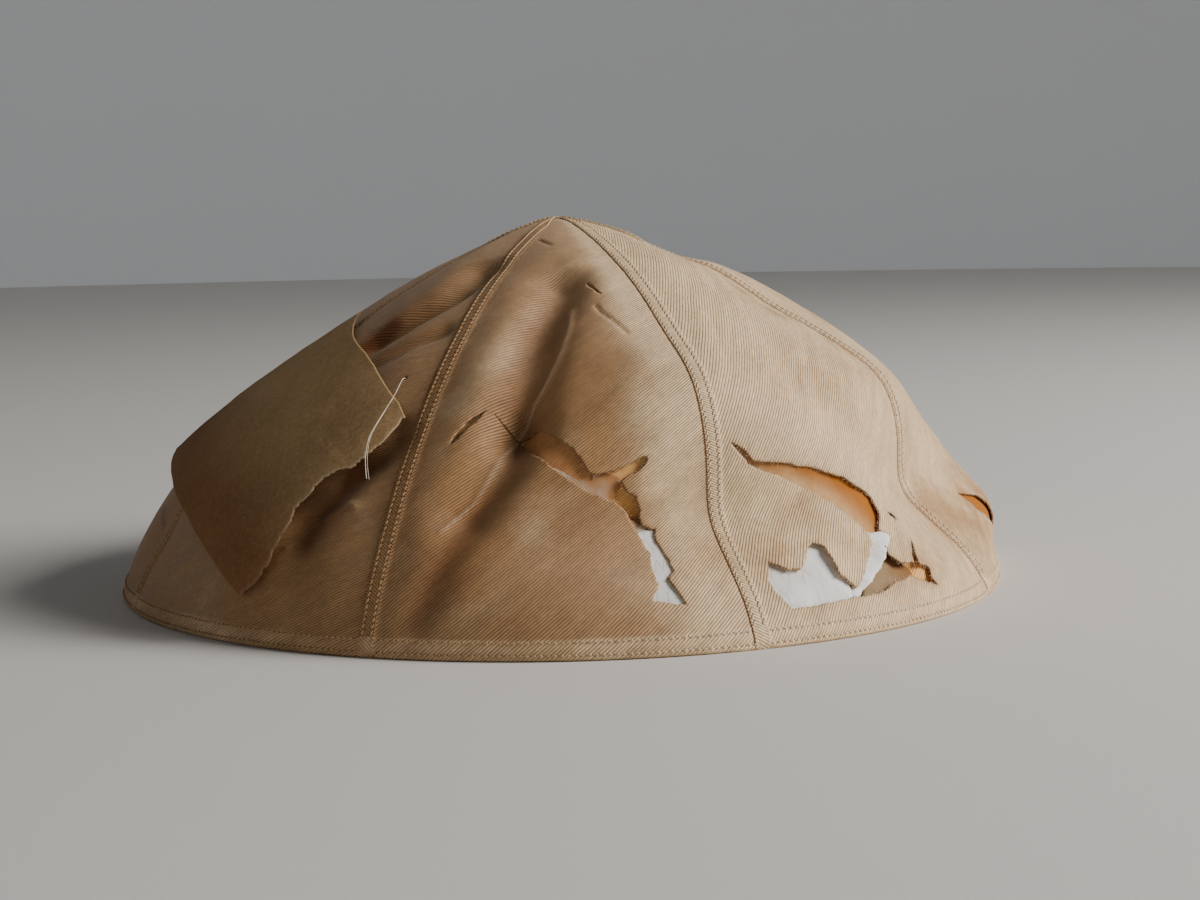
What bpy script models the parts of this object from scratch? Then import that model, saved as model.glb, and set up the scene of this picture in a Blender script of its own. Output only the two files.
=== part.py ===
"""Worn silk skullcap: eight gores, a leather band inside the rim and a torn paper label.

The cap stands on its rim. Z is up, the origin is the rim's centre on the surface it
rests on, and the front gore faces -Y. Every length is in metres.

A place on the cap is given as a turn, in degrees round from the front towards +X, and
a rise, the share of the way up the profile from the rim (0) to the peak (1).
"""
import math
from collections import namedtuple

import bmesh
import bpy
import numpy as np
from mathutils import Vector
from mathutils.geometry import delaunay_2d_cdt

# Driving dimensions
RIM_RADIUS = 0.0875
PEAK_HEIGHT = 0.0726
CLOTH_THICKNESS = 0.0012
HEM_THICKNESS = 0.0020
HEM_HEIGHT = 0.0033
HEM_STEP = 0.0006
SEAM_GAP = 0.0003
SEAM_STRIP_WIDTH = 0.0030
SEAM_STRIP_STEP = 0.0004
SEAM_STRIP_RAISE = 0.0004
SEAM_PULL = 0.0008
SEAM_PULL_REACH = 0.0060
PEAK_HOLE_RADIUS = 0.0012
BAND_THICKNESS = 0.0010
BAND_CLEARANCE = 0.0003
BAND_LEAN = 0.0015
BAND_FLOOR_CLEARANCE = 0.0010
LABEL_THICKNESS = 0.0006
LABEL_CLEARANCE = 0.0005
LABEL_EDGE_LIFT = 0.0016
LABEL_CORNER_LIFT = 0.0030
TEAR_MARGIN = 0.0012

GORE_NAMES = (
    "gore_front",
    "gore_front_right",
    "gore_right",
    "gore_back_right",
    "gore_back",
    "gore_back_left",
    "gore_left",
    "gore_front_left",
)
GORE_TURN = 360.0 / len(GORE_NAMES)
FINE_GORES = ("gore_front", "gore_front_right", "gore_front_left")
FINE_GRID = (11, 20)
PLAIN_GRID = (8, 13)
BAND_GRID = (60, 4)
LABEL_GRID = (9, 9)

# The profile bends as a superellipse, whose exponent changes round the cap
ProfileRow = namedtuple("ProfileRow", "turn exponent_at_peak exponent_at_rim")
PROFILE = (
    ProfileRow(-180.0, 1.50, 1.62),
    ProfileRow(-135.0, 1.38, 1.52),
    ProfileRow(-90.0, 1.34, 1.46),
    ProfileRow(-67.5, 1.38, 1.48),
    ProfileRow(-22.5, 1.60, 1.44),
    ProfileRow(0.0, 1.62, 1.50),
    ProfileRow(22.5, 1.66, 1.72),
    ProfileRow(67.5, 1.58, 1.78),
    ProfileRow(90.0, 1.52, 1.84),
    ProfileRow(135.0, 1.50, 1.74),
    ProfileRow(180.0, 1.50, 1.62),
)

# Wide dents and bulges, with their depth as a share of the rim radius
DentRow = namedtuple("DentRow", "turn turn_reach rise rise_reach depth")
DENTS = (
    DentRow(22.0, 22.0, 0.185, 0.120, -0.114),
    DentRow(24.0, 15.0, 0.430, 0.080, 0.016),
    DentRow(68.0, 18.0, 0.180, 0.120, -0.112),
    DentRow(68.0, 13.0, 0.395, 0.070, 0.018),
    DentRow(68.0, 14.0, 0.600, 0.070, -0.010),
    DentRow(93.0, 15.0, 0.105, 0.055, 0.042),
    DentRow(95.0, 12.0, 0.310, 0.080, -0.018),
    DentRow(84.0, 16.0, 0.800, 0.040, -0.048),
    DentRow(7.0, 6.0, 0.110, 0.060, -0.012),
    DentRow(-60.0, 14.0, 0.130, 0.060, -0.014),
)

# Folds along a line of places, with reach and depth as shares of the rim radius
FoldRow = namedtuple("FoldRow", "line reach depth")
FOLDS = (
    FoldRow(((2.0, 0.68), (-2.5, 0.58), (-4.5, 0.48), (-6.0, 0.36)), 0.056, -0.042),
    FoldRow(((-6.0, 0.36), (-9.0, 0.28), (-12.0, 0.22)), 0.060, -0.030),
    FoldRow(((-4.5, 0.66), (-9.0, 0.56), (-12.5, 0.43)), 0.052, 0.018),
    FoldRow(((-45.0, 0.54), (-33.0, 0.66), (-28.0, 0.74)), 0.040, -0.028),
    FoldRow(((-41.0, 0.22), (-36.0, 0.26), (-31.0, 0.31)), 0.046, -0.026),
)

# How high the leather band reaches round the cap
BandRow = namedtuple("BandRow", "turn top_rise")
BAND_TOP = (
    BandRow(-180.0, 0.21),
    BandRow(-60.0, 0.20),
    BandRow(0.0, 0.175),
    BandRow(14.0, 0.185),
    BandRow(29.0, 0.240),
    BandRow(39.5, 0.215),
    BandRow(48.0, 0.150),
    BandRow(60.0, 0.190),
    BandRow(180.0, 0.21),
)
BAND_ENDS = {"far_end": 54.0, "torn_end_low": 40.3, "torn_end_high": 47.8}

# Tears as outlines of places, each in the gore that it names
TEARS = {
    "front_tear": (
        "gore_front",
        (
            (-9.9, 0.398), (-5.6, 0.367), (-2.7, 0.374), (1.3, 0.336), (4.0, 0.304),
            (5.2, 0.281), (8.5, 0.284), (12.8, 0.306), (13.4, 0.298), (10.5, 0.278),
            (9.4, 0.264), (11.4, 0.243), (11.7, 0.206), (14.0, 0.188), (13.5, 0.168),
            (15.0, 0.116), (13.9, 0.104), (15.4, 0.066), (11.4, 0.076), (12.5, 0.098),
            (12.3, 0.135), (11.7, 0.166), (9.8, 0.219), (5.5, 0.249), (-0.8, 0.299),
            (-2.9, 0.321), (-5.7, 0.360),
        ),
    ),
    "front_slit": (
        "gore_front",
        ((-11.2, 0.399), (-12.8, 0.384), (-15.6, 0.333), (-13.3, 0.364), (-11.4, 0.390)),
    ),
    "top_slit": (
        "gore_front",
        ((9.9, 0.687), (11.2, 0.665), (12.4, 0.637), (11.5, 0.645), (10.2, 0.672)),
    ),
    "hanging_flap": (
        "gore_front_right",
        (
            (26.8, 0.313), (28.3, 0.302), (29.9, 0.284), (35.4, 0.273), (41.8, 0.249),
            (47.1, 0.215), (48.9, 0.195), (48.9, 0.172), (46.9, 0.143), (47.7, 0.127),
            (46.2, 0.110), (47.1, 0.092), (50.4, 0.083), (52.6, 0.076), (52.2, 0.060),
            (52.8, 0.048), (50.0, 0.059), (44.5, 0.064), (38.9, 0.050), (28.3, 0.050),
            (26.9, 0.074), (26.8, 0.092), (27.7, 0.112), (31.4, 0.100), (33.9, 0.131),
            (36.1, 0.120), (36.3, 0.092), (38.2, 0.070), (43.3, 0.118), (44.5, 0.140),
            (43.0, 0.172), (39.9, 0.208), (35.5, 0.244), (31.0, 0.269), (28.3, 0.289),
        ),
    ),
    "small_hole": (
        "gore_front_right",
        ((50.4, 0.167), (51.5, 0.163), (52.2, 0.151), (51.2, 0.150), (50.6, 0.157)),
    ),
    "side_slot": (
        "gore_right",
        ((81.0, 0.150), (85.5, 0.132), (88.5, 0.102), (90.0, 0.069), (85.5, 0.086), (82.0, 0.114)),
    ),
}

# The label's four edges, each a line of places that starts where the last one ends
LABEL_TOP = ((-66.0, 0.620), (-51.3, 0.551), (-40.9, 0.508), (-29.2, 0.428), (-23.7, 0.376))
LABEL_TORN = (
    (-23.7, 0.376), (-25.6, 0.322), (-28.5, 0.276), (-32.5, 0.252), (-34.7, 0.199),
    (-35.2, 0.166), (-36.0, 0.129), (-39.6, 0.068),
)
LABEL_LOWER = ((-39.6, 0.068), (-47.2, 0.114), (-59.6, 0.178), (-70.0, 0.215), (-84.0, 0.250))
LABEL_BACK = ((-84.0, 0.250), (-80.0, 0.390), (-73.0, 0.500), (-66.0, 0.620))

# Colours, linear RGB
SILK_COLOUR = (0.52, 0.40, 0.27)
LEATHER_COLOUR = (0.70, 0.68, 0.64)
PAPER_COLOUR = (0.24, 0.16, 0.09)

PROFILE_SAMPLES = 300
ALL_TRIANGLES = 0
MERGE_DISTANCE = 0.000001


def clear_scene():
    for item in list(bpy.data.objects):
        bpy.data.objects.remove(item, do_unlink=True)


def smooth_step(x):
    x = np.clip(x, 0.0, 1.0)
    return x * x * (3.0 - 2.0 * x)


def wrapped(turn):
    """The same turn between -180 and 180 degrees."""
    return (turn + 180.0) % 360.0 - 180.0


def profile(turn):
    """Radii, heights and shares of length of one profile, from rim to peak, and its length."""
    turns = [row.turn for row in PROFILE]
    at_peak = np.interp(wrapped(turn), turns, [row.exponent_at_peak for row in PROFILE])
    at_rim = np.interp(wrapped(turn), turns, [row.exponent_at_rim for row in PROFILE])
    share = np.linspace(0.0, 1.0, PROFILE_SAMPLES)
    exponent = at_rim + (at_peak - at_rim) * smooth_step(share)
    radius = RIM_RADIUS * np.abs(np.cos(share * math.pi / 2)) ** (2.0 / exponent)
    height = PEAK_HEIGHT * np.sin(share * math.pi / 2) ** (2.0 / exponent)
    radius[-1] = 0.0
    steps = np.hypot(np.diff(radius), np.diff(height))
    length = np.concatenate([[0.0], np.cumsum(steps)])
    return radius, height, length / length[-1], length[-1]


def rise_at_radius(turn, wanted):
    """The rise at which the profile has come in to the wanted radius."""
    radius, _, share, _ = profile(turn)
    return float(np.interp(wanted, radius[::-1], share[::-1]))


def rise_at_height(turn, wanted):
    _, height, share, _ = profile(turn)
    return float(np.interp(wanted, height, share))


def seam_pull(turn, radius):
    """How far the stitched seams draw the cloth in."""
    nearest = round((turn - GORE_TURN / 2) / GORE_TURN) * GORE_TURN + GORE_TURN / 2
    distance = math.radians(abs(turn - nearest)) * radius
    return -SEAM_PULL * math.exp(-((distance / SEAM_PULL_REACH) ** 2))


def distance_to_line(turn, rise, line, radius, length):
    """Distance along the cloth from a place to a line of places."""
    best = math.inf
    for (turn_a, rise_a), (turn_b, rise_b) in zip(line, line[1:]):
        along = Vector((math.radians(turn_b - turn_a) * radius, (rise_b - rise_a) * length))
        to_place = Vector((math.radians(wrapped(turn - turn_a)) * radius, (rise - rise_a) * length))
        share = min(max(to_place.dot(along) / along.length_squared, 0.0), 1.0)
        best = min(best, (to_place - along * share).length)
    return best


def surface_point(turn, rise, folded=True):
    """A point of the cap's outer surface."""
    radii, heights, shares, length = profile(turn)
    rise = min(max(rise, 0.0), 1.0)
    radius = float(np.interp(rise, shares, radii))
    height = float(np.interp(rise, shares, heights))
    inward = 0.0
    for dent in DENTS:
        off_turn = wrapped(turn - dent.turn) / dent.turn_reach
        off_rise = (rise - dent.rise) / dent.rise_reach
        inward += dent.depth * RIM_RADIUS * math.exp(-off_turn**2 - off_rise**2)
    if folded:
        inward += seam_pull(turn, radius)
        for fold in FOLDS:
            distance = distance_to_line(turn, rise, fold.line, radius, length)
            reach = fold.reach * RIM_RADIUS
            inward += fold.depth * RIM_RADIUS * math.exp(-((distance / reach) ** 2))
    rim_hold = 1.0 - math.exp(-rise * length / (2 * HEM_HEIGHT))
    radius_share = min(radius / (0.2 * RIM_RADIUS), 1.0)
    angle = math.radians(turn)
    outward = Vector((math.sin(angle), -math.cos(angle), 0.0))
    up = Vector((0.0, 0.0, 1.0))
    tilt = float(smooth_step(height / PEAK_HEIGHT)) * math.pi / 3
    push = outward * math.cos(tilt) + up * math.sin(tilt)
    return outward * radius + up * height + push * (inward * rim_hold * radius_share)


def surface_normal(turn, rise, folded=True):
    """The outward normal, from two small steps along the surface."""
    step_turn = 0.6
    step_rise = 0.004
    low = max(rise - step_rise, 0.0)
    high = min(rise + step_rise, 1.0)
    across = surface_point(turn + step_turn, rise, folded) - surface_point(turn - step_turn, rise, folded)
    upward = surface_point(turn, high, folded) - surface_point(turn, low, folded)
    return across.cross(upward).normalized()


def in_seam_plane(vector, turn):
    """The vector without its part along the rim, so that two gores' edges stay parallel."""
    angle = math.radians(turn)
    along = Vector((math.cos(angle), math.sin(angle), 0.0))
    return (vector - along * vector.dot(along)).normalized()


def seam_turn_offset(turn, rise):
    """The turn that half a seam gap takes up at one height."""
    point = surface_point(turn, rise)
    return math.degrees(math.asin(min(SEAM_GAP / 2 / math.hypot(point.x, point.y), 0.5)))


def gore_columns(width, count):
    """Shares across a gore: the raised strip along its first seam, then even steps."""
    strip = min(SEAM_STRIP_WIDTH / width, 0.28)
    foot = strip + min(SEAM_STRIP_STEP / width, 0.05)
    return [0.0, strip] + [foot + (1.0 - foot) * i / count for i in range(count + 1)]


def gore_rows(turn, count):
    """Rises up a gore: the hem, its step, then even steps to the opening at the peak."""
    hem = rise_at_height(turn, HEM_HEIGHT)
    above_hem = rise_at_height(turn, HEM_HEIGHT + HEM_STEP)
    top = rise_at_radius(turn, PEAK_HOLE_RADIUS)
    return [0.0, hem] + [above_hem + (top - above_hem) * i / count for i in range(count + 1)]


def wall_object(name, outer, inner, faces, material):
    """A closed wall between an outer and an inner skin that share their faces' layout."""
    wall = bmesh.new()
    out_skin = [wall.verts.new(point) for point in outer]
    in_skin = [wall.verts.new(point) for point in inner]
    one_sided = {}
    for face in faces:
        wall.faces.new([out_skin[i] for i in face])
        wall.faces.new([in_skin[i] for i in reversed(face)])
        for edge in zip(face, face[1:] + face[:1]):
            if edge[::-1] in one_sided:
                del one_sided[edge[::-1]]
            else:
                one_sided[edge] = True
    for start, end in one_sided:
        wall.faces.new((out_skin[end], out_skin[start], in_skin[start], in_skin[end]))
    loose = [vert for vert in wall.verts if not vert.link_faces]
    bmesh.ops.delete(wall, geom=loose, context="VERTS")
    bmesh.ops.recalc_face_normals(wall, faces=wall.faces)
    mesh = bpy.data.meshes.new(name)
    wall.to_mesh(mesh)
    wall.free()
    mesh.materials.append(material)
    result = bpy.data.objects.new(name, mesh)
    bpy.context.collection.objects.link(result)
    return result


def grid_faces(rows, columns):
    """Square faces over a grid of points counted row by row."""
    faces = []
    for r in range(rows - 1):
        for c in range(columns - 1):
            corner = r * columns + c
            faces.append([corner, corner + 1, corner + columns + 1, corner + columns])
    return faces


def material(name, colour, roughness):
    result = bpy.data.materials.new(name)
    result.use_nodes = True
    shader = result.node_tree.nodes["Principled BSDF"]
    shader.inputs["Base Color"].default_value = (*colour, 1.0)
    shader.inputs["Roughness"].default_value = roughness
    shader.inputs["Metallic"].default_value = 0.0
    return result


def distance_to_outline(point, outline):
    """Distance from a flat point to a closed outline, below zero inside it."""
    best = math.inf
    inside = False
    for start, end in zip(outline, outline[1:] + outline[:1]):
        along = end - start
        share = min(max((point - start).dot(along) / along.length_squared, 0.0), 1.0)
        best = min(best, (start + along * share - point).length)
        if (start.y > point.y) != (end.y > point.y):
            crossing = start.x + (point.y - start.y) / (end.y - start.y) * along.x
            inside = inside != (point.x < crossing)
    return -best if inside else best


class Pattern:
    """The flat pattern of one gore, as its cloth would lie, and the way back to the cap."""

    def __init__(self, middle):
        self.middle = middle
        self.radii, _, self.shares, self.length = profile(middle)

    def flat(self, turn, rise):
        radius = float(np.interp(rise, self.shares, self.radii))
        return Vector((math.radians(turn - self.middle) * radius, rise * self.length))


def gore_layout(name, middle):
    """The turn, rise, raise and thickness of each point of a gore, row by row."""
    first_seam = middle - GORE_TURN / 2
    last_seam = middle + GORE_TURN / 2
    column_count, row_count = FINE_GRID if name in FINE_GORES else PLAIN_GRID
    rows = []
    for row, rise in enumerate(gore_rows(middle, row_count)):
        start = first_seam + seam_turn_offset(first_seam, rise)
        end = last_seam - seam_turn_offset(last_seam, rise)
        centre = surface_point(middle, rise)
        width = math.radians(end - start) * math.hypot(centre.x, centre.y)
        thickness = HEM_THICKNESS if row < 2 else CLOTH_THICKNESS
        points = []
        for column, share in enumerate(gore_columns(width, column_count)):
            raise_by = SEAM_STRIP_RAISE if column < 2 else 0.0
            points.append((start + (end - start) * share, rise, raise_by, thickness))
        rows.append(points)
    return rows


def gore_faces(pattern, rows, outlines):
    """Places and triangles of a gore, laid out flat with its tears left open."""
    columns = len(rows[0])
    places = []
    index = {}
    for r, row in enumerate(rows):
        for c, place in enumerate(row):
            flat = pattern.flat(place[0], place[1])
            fixed = r < 3 or r == len(rows) - 1 or c < 3 or c == columns - 1
            if fixed or all(distance_to_outline(flat, outline) > TEAR_MARGIN for outline in outlines):
                index[r, c] = len(places)
                places.append((flat, place))
    edges = []
    for r in range(len(rows)):
        for c in range(columns):
            across_edge = r < 3 or r == len(rows) - 1
            upward_edge = c < 3 or c == columns - 1
            if across_edge and c + 1 < columns:
                edges.append((index[r, c], index[r, c + 1]))
            if upward_edge and r + 1 < len(rows):
                edges.append((index[r, c], index[r + 1, c]))
    for outline in outlines:
        start = len(places)
        for flat in outline:
            rise = flat.y / pattern.length
            radius = float(np.interp(rise, pattern.shares, pattern.radii))
            turn = pattern.middle + math.degrees(flat.x / radius)
            places.append((flat, (turn, rise, 0.0, CLOTH_THICKNESS)))
        count = len(outline)
        edges += [(start + i, start + (i + 1) % count) for i in range(count)]
    flats = [flat for flat, _ in places]
    found = delaunay_2d_cdt(flats, edges, [], ALL_TRIANGLES, MERGE_DISTANCE)
    verts, _, triangles, originals = found[:4]
    border = [flats[index[0, c]] for c in range(columns)]
    border += [flats[index[r, columns - 1]] for r in range(1, len(rows))]
    border += [flats[index[len(rows) - 1, c]] for c in range(columns - 2, -1, -1)]
    border += [flats[index[r, 0]] for r in range(len(rows) - 2, 0, -1)]
    faces = []
    for triangle in triangles:
        centre = sum((verts[i] for i in triangle), Vector((0.0, 0.0))) / 3
        if distance_to_outline(centre, border) > 0:
            continue
        if any(distance_to_outline(centre, outline) < 0 for outline in outlines):
            continue
        faces.append([originals[i][0] for i in triangle])
    return [place for _, place in places], faces


def build_gore(index, silk):
    name = GORE_NAMES[index]
    middle = index * GORE_TURN
    pattern = Pattern(middle)
    outlines = []
    for gore_name, outline in TEARS.values():
        if gore_name == name:
            outlines.append([pattern.flat(turn, rise) for turn, rise in outline])
    places, faces = gore_faces(pattern, gore_layout(name, middle), outlines)
    seam_reach = GORE_TURN / 2 - 0.0001
    outer = []
    inner = []
    for turn, rise, raise_by, thickness in places:
        point = surface_point(turn, rise)
        normal = surface_normal(turn, rise)
        if abs(turn - middle) > seam_reach - seam_turn_offset(turn, rise):
            normal = in_seam_plane(normal, turn)
        if rise == 0.0:
            normal = Vector((normal.x, normal.y, 0.0)).normalized()
        outer.append(point + normal * raise_by)
        inner.append(point - normal * thickness)
    return wall_object(name, outer, inner, faces, silk)


def build_band(leather):
    """The leather band round the inside of the rim, open where it has torn apart."""
    columns, rows = BAND_GRID
    outer = []
    inner = []
    tops = ([row.turn for row in BAND_TOP], [row.top_rise for row in BAND_TOP])
    start = BAND_ENDS["far_end"] - 360.0
    for r in range(rows + 1):
        up_share = r / rows
        end = BAND_ENDS["torn_end_low"]
        end += (BAND_ENDS["torn_end_high"] - BAND_ENDS["torn_end_low"]) * up_share
        for c in range(columns + 1):
            turn = start + (end - start) * c / columns
            low = rise_at_height(turn, BAND_FLOOR_CLEARANCE)
            rise = low + (float(np.interp(wrapped(turn), *tops)) - low) * up_share
            point = surface_point(turn, rise, folded=False)
            normal = surface_normal(turn, rise, folded=False)
            depth = HEM_THICKNESS + SEAM_PULL + BAND_CLEARANCE + BAND_LEAN * up_share
            outer.append(point - normal * depth)
            inner.append(point - normal * (depth + BAND_THICKNESS))
    return wall_object("leather_band", outer, inner, grid_faces(rows + 1, columns + 1), leather)


def along_line(line, share):
    """A place at a share of the way along a line of places."""
    steps = [0.0]
    for (turn_a, rise_a), (turn_b, rise_b) in zip(line, line[1:]):
        across = math.radians(turn_b - turn_a) * RIM_RADIUS
        upward = (rise_b - rise_a) * (RIM_RADIUS + PEAK_HEIGHT)
        steps.append(steps[-1] + math.hypot(across, upward))
    wanted = share * steps[-1]
    turn = np.interp(wanted, steps, [place[0] for place in line])
    rise = np.interp(wanted, steps, [place[1] for place in line])
    return np.array((turn, rise))


def label_place(across, down):
    """A place inside the label's four edges, across the top and down the torn edge."""
    top = along_line(LABEL_TOP, across)
    lower = along_line(LABEL_LOWER, 1.0 - across)
    back = along_line(LABEL_BACK, 1.0 - down)
    torn = along_line(LABEL_TORN, down)
    corners = (
        np.array(LABEL_TOP[0]) * (1 - across) * (1 - down)
        + np.array(LABEL_TOP[-1]) * across * (1 - down)
        + np.array(LABEL_LOWER[0]) * across * down
        + np.array(LABEL_LOWER[-1]) * (1 - across) * down
    )
    return top * (1 - down) + lower * down + back * (1 - across) + torn * across - corners


def label_lift(across, down):
    """How far the paper stands off the silk."""
    lift = SEAM_STRIP_RAISE + LABEL_CLEARANCE
    lift += LABEL_EDGE_LIFT * float(smooth_step((across - 0.7) / 0.3)) * math.sin(math.pi * down)
    lift += LABEL_CORNER_LIFT * (1 - across) ** 2 * down**2
    return lift


def build_label(paper):
    columns, rows = LABEL_GRID
    outer = []
    inner = []
    for r in range(rows + 1):
        for c in range(columns + 1):
            across = c / columns
            down = 1.0 - r / rows
            turn, rise = (float(value) for value in label_place(across, down))
            point = surface_point(turn, rise, folded=False)
            normal = surface_normal(turn, rise, folded=False)
            lift = label_lift(across, down)
            inner.append(point + normal * lift)
            outer.append(point + normal * (lift + LABEL_THICKNESS))
    return wall_object("paper_label", outer, inner, grid_faces(rows + 1, columns + 1), paper)


def main():
    clear_scene()
    silk = material("silk", SILK_COLOUR, 0.55)
    leather = material("leather", LEATHER_COLOUR, 0.60)
    paper = material("paper", PAPER_COLOUR, 0.85)
    for index in range(len(GORE_NAMES)):
        build_gore(index, silk)
    build_band(leather)
    build_label(paper)


main()
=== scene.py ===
# %% [markdown]
# # A worn silk skullcap
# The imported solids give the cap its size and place. This script dresses them: eight gores of
# ribbed silk with real tears, a white leather band behind them, a paper label, and every stitch.

import math
from collections import namedtuple

import bpy
import numpy as np
from mathutils import Matrix, Vector, noise
from mathutils.geometry import delaunay_2d_cdt


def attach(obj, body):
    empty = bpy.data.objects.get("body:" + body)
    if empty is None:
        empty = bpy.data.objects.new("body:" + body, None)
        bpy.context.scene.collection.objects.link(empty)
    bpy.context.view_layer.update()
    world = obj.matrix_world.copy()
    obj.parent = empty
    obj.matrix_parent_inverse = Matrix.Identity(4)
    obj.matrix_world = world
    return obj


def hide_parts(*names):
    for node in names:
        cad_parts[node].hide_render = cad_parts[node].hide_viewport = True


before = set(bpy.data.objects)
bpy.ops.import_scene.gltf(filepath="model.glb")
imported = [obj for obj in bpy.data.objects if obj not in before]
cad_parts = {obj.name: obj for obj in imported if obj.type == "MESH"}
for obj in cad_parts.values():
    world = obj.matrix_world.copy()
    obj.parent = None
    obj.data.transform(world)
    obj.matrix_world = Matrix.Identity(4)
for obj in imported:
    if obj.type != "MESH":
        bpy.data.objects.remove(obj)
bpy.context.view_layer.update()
BODY = "root"
MM = 0.001


# %% Small helpers
def table(row_type, *rows):
    """Rows with named columns."""
    return tuple(row_type(*row) for row in rows)


def add_object(name, data):
    made = bpy.data.objects.new(name, data)
    bpy.context.collection.objects.link(made)
    return made


def smooth_step(x):
    x = np.clip(x, 0.0, 1.0)
    return x * x * (3.0 - 2.0 * x)


def bell(x):
    """1 at zero, dying away on both sides."""
    return np.exp(-(x**2))


def wrapped(turn):
    return (turn + 180.0) % 360.0 - 180.0


# %% [markdown]
# ## Camera
# The photograph was taken from just above table height with a longish lens. The numbers come
# from fitting the rim's ellipse, three seams and the peak, so they are the camera's real place.

# %% Camera
PHOTO_WIDTH_PX = 1200
FOCAL_PX = 2235
SENSOR_MM = 36.0
CAMERA_PLACE = Vector((0.008, -0.450, 0.0747))
CAMERA_PITCH = math.radians(6.24)
CAMERA_ROLL = math.radians(1.02)

forward = Vector((0.0, math.cos(CAMERA_PITCH), -math.sin(CAMERA_PITCH)))
level_right = Vector((1.0, 0.0, 0.0))
level_up = level_right.cross(forward)
right = level_right * math.cos(CAMERA_ROLL) - level_up * math.sin(CAMERA_ROLL)
up = level_right * math.sin(CAMERA_ROLL) + level_up * math.cos(CAMERA_ROLL)
camera_data = bpy.data.cameras.new("camera")
camera_data.sensor_width = SENSOR_MM
camera_data.lens = SENSOR_MM * FOCAL_PX / PHOTO_WIDTH_PX
camera_data.clip_start = 0.01
camera = add_object("camera", camera_data)
turned = Matrix((right, up, -forward)).transposed()
camera.matrix_world = Matrix.Translation(CAMERA_PLACE) @ turned.to_4x4()
bpy.context.scene.camera = camera
print("lens", round(camera_data.lens, 1), "mm")

# %% [markdown]
# ## The shape of the cap
# A place on the cap is a turn, in degrees round from the front, and a rise, the share of the
# way up from rim to peak. The profile is a superellipse whose exponent changes round the cap,
# because old silk slumps unevenly. Numpy works out thousands of places in one go.

# %% Sizes that the solids share
RIM_RADIUS = 0.0875
PEAK_HEIGHT = 0.0726
GORE_TURN = 45.0
HEM_HEIGHT = 0.0033
SEAM_PULL = 0.0008
SEAM_PULL_REACH = 0.0060
PROFILE_SAMPLES = 300

ProfileRow = namedtuple("ProfileRow", "turn exponent_at_peak exponent_at_rim")
PROFILE = table(
    ProfileRow,
    (-180, 1.5, 1.62), (-135, 1.38, 1.52), (-90, 1.34, 1.46), (-67.5, 1.38, 1.48), (-22.5, 1.6, 1.44),
    (0, 1.62, 1.5), (22.5, 1.66, 1.72), (67.5, 1.58, 1.78), (90, 1.52, 1.84), (135, 1.5, 1.74),
    (180, 1.5, 1.62),
)


def superellipse(turn, share):
    """Radius and height of the bare profile at a share of its quarter turn."""
    turns, at_peaks, at_rims = zip(*PROFILE)
    at_peak = np.interp(wrapped(turn), turns, at_peaks)
    at_rim = np.interp(wrapped(turn), turns, at_rims)
    power = 2.0 / (at_rim + (at_peak - at_rim) * smooth_step(share))
    radius = RIM_RADIUS * np.clip(np.cos(share * math.pi / 2), 0.0, 1.0) ** power
    return radius, PEAK_HEIGHT * np.sin(share * math.pi / 2) ** power


# The share of the quarter turn at each turn and rise, looked up so that rises are even lengths
TABLE_TURNS = np.arange(-180.0, 180.5, 0.5)
TABLE_RISES = np.linspace(0.0, 1.0, 401)
shares = np.linspace(0.0, 1.0, PROFILE_SAMPLES)
share_table = []
length_table = []
for table_turn in TABLE_TURNS:
    table_radius, table_height = superellipse(table_turn, shares)
    run = np.hypot(np.diff(table_radius), np.diff(table_height)).cumsum()
    run = np.concatenate([[0.0], run])
    share_table.append(np.interp(TABLE_RISES, run / run[-1], shares))
    length_table.append(run[-1])
share_table = np.array(share_table)


def profile_point(turn, rise):
    """Radius and height of the bare profile, by bilinear lookup of the share."""
    across = (wrapped(turn) - TABLE_TURNS[0]) * 2.0
    upward = np.clip(rise, 0.0, 1.0) * (len(TABLE_RISES) - 1)
    a = np.clip(across.astype(int), 0, len(TABLE_TURNS) - 2)
    u = np.clip(upward.astype(int), 0, len(TABLE_RISES) - 2)
    fa = across - a
    fu = upward - u
    low = share_table[a, u] * (1 - fu) + share_table[a, u + 1] * fu
    high = share_table[a + 1, u] * (1 - fu) + share_table[a + 1, u + 1] * fu
    return superellipse(turn, low * (1 - fa) + high * fa)


def profile_length(turn):
    return np.interp(wrapped(turn), TABLE_TURNS, length_table)


def profile_size(turn, rise):
    return profile_point(turn, rise)[0], profile_length(turn)


# %% [markdown]
# ## Dents and folds
# Wide dents are soft bumps at one place. A fold follows a line of places. The first rows repeat
# the solids' own; the last, finer rows are creases that only cloth can show.

# %% Dents and folds
DentRow = namedtuple("DentRow", "turn turn_reach rise rise_reach depth")
DENTS = table(
    DentRow,
    (22, 22, 0.185, 0.12, -0.114), (24, 15, 0.43, 0.08, 0.016), (68, 18, 0.18, 0.12, -0.112),
    (68, 13, 0.395, 0.07, 0.018), (68, 14, 0.6, 0.07, -0.01), (93, 15, 0.105, 0.055, 0.042),
    (95, 12, 0.31, 0.08, -0.018), (84, 16, 0.8, 0.04, -0.048), (7, 6, 0.11, 0.06, -0.012),
    (-60, 14, 0.13, 0.06, -0.014),
)

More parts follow.
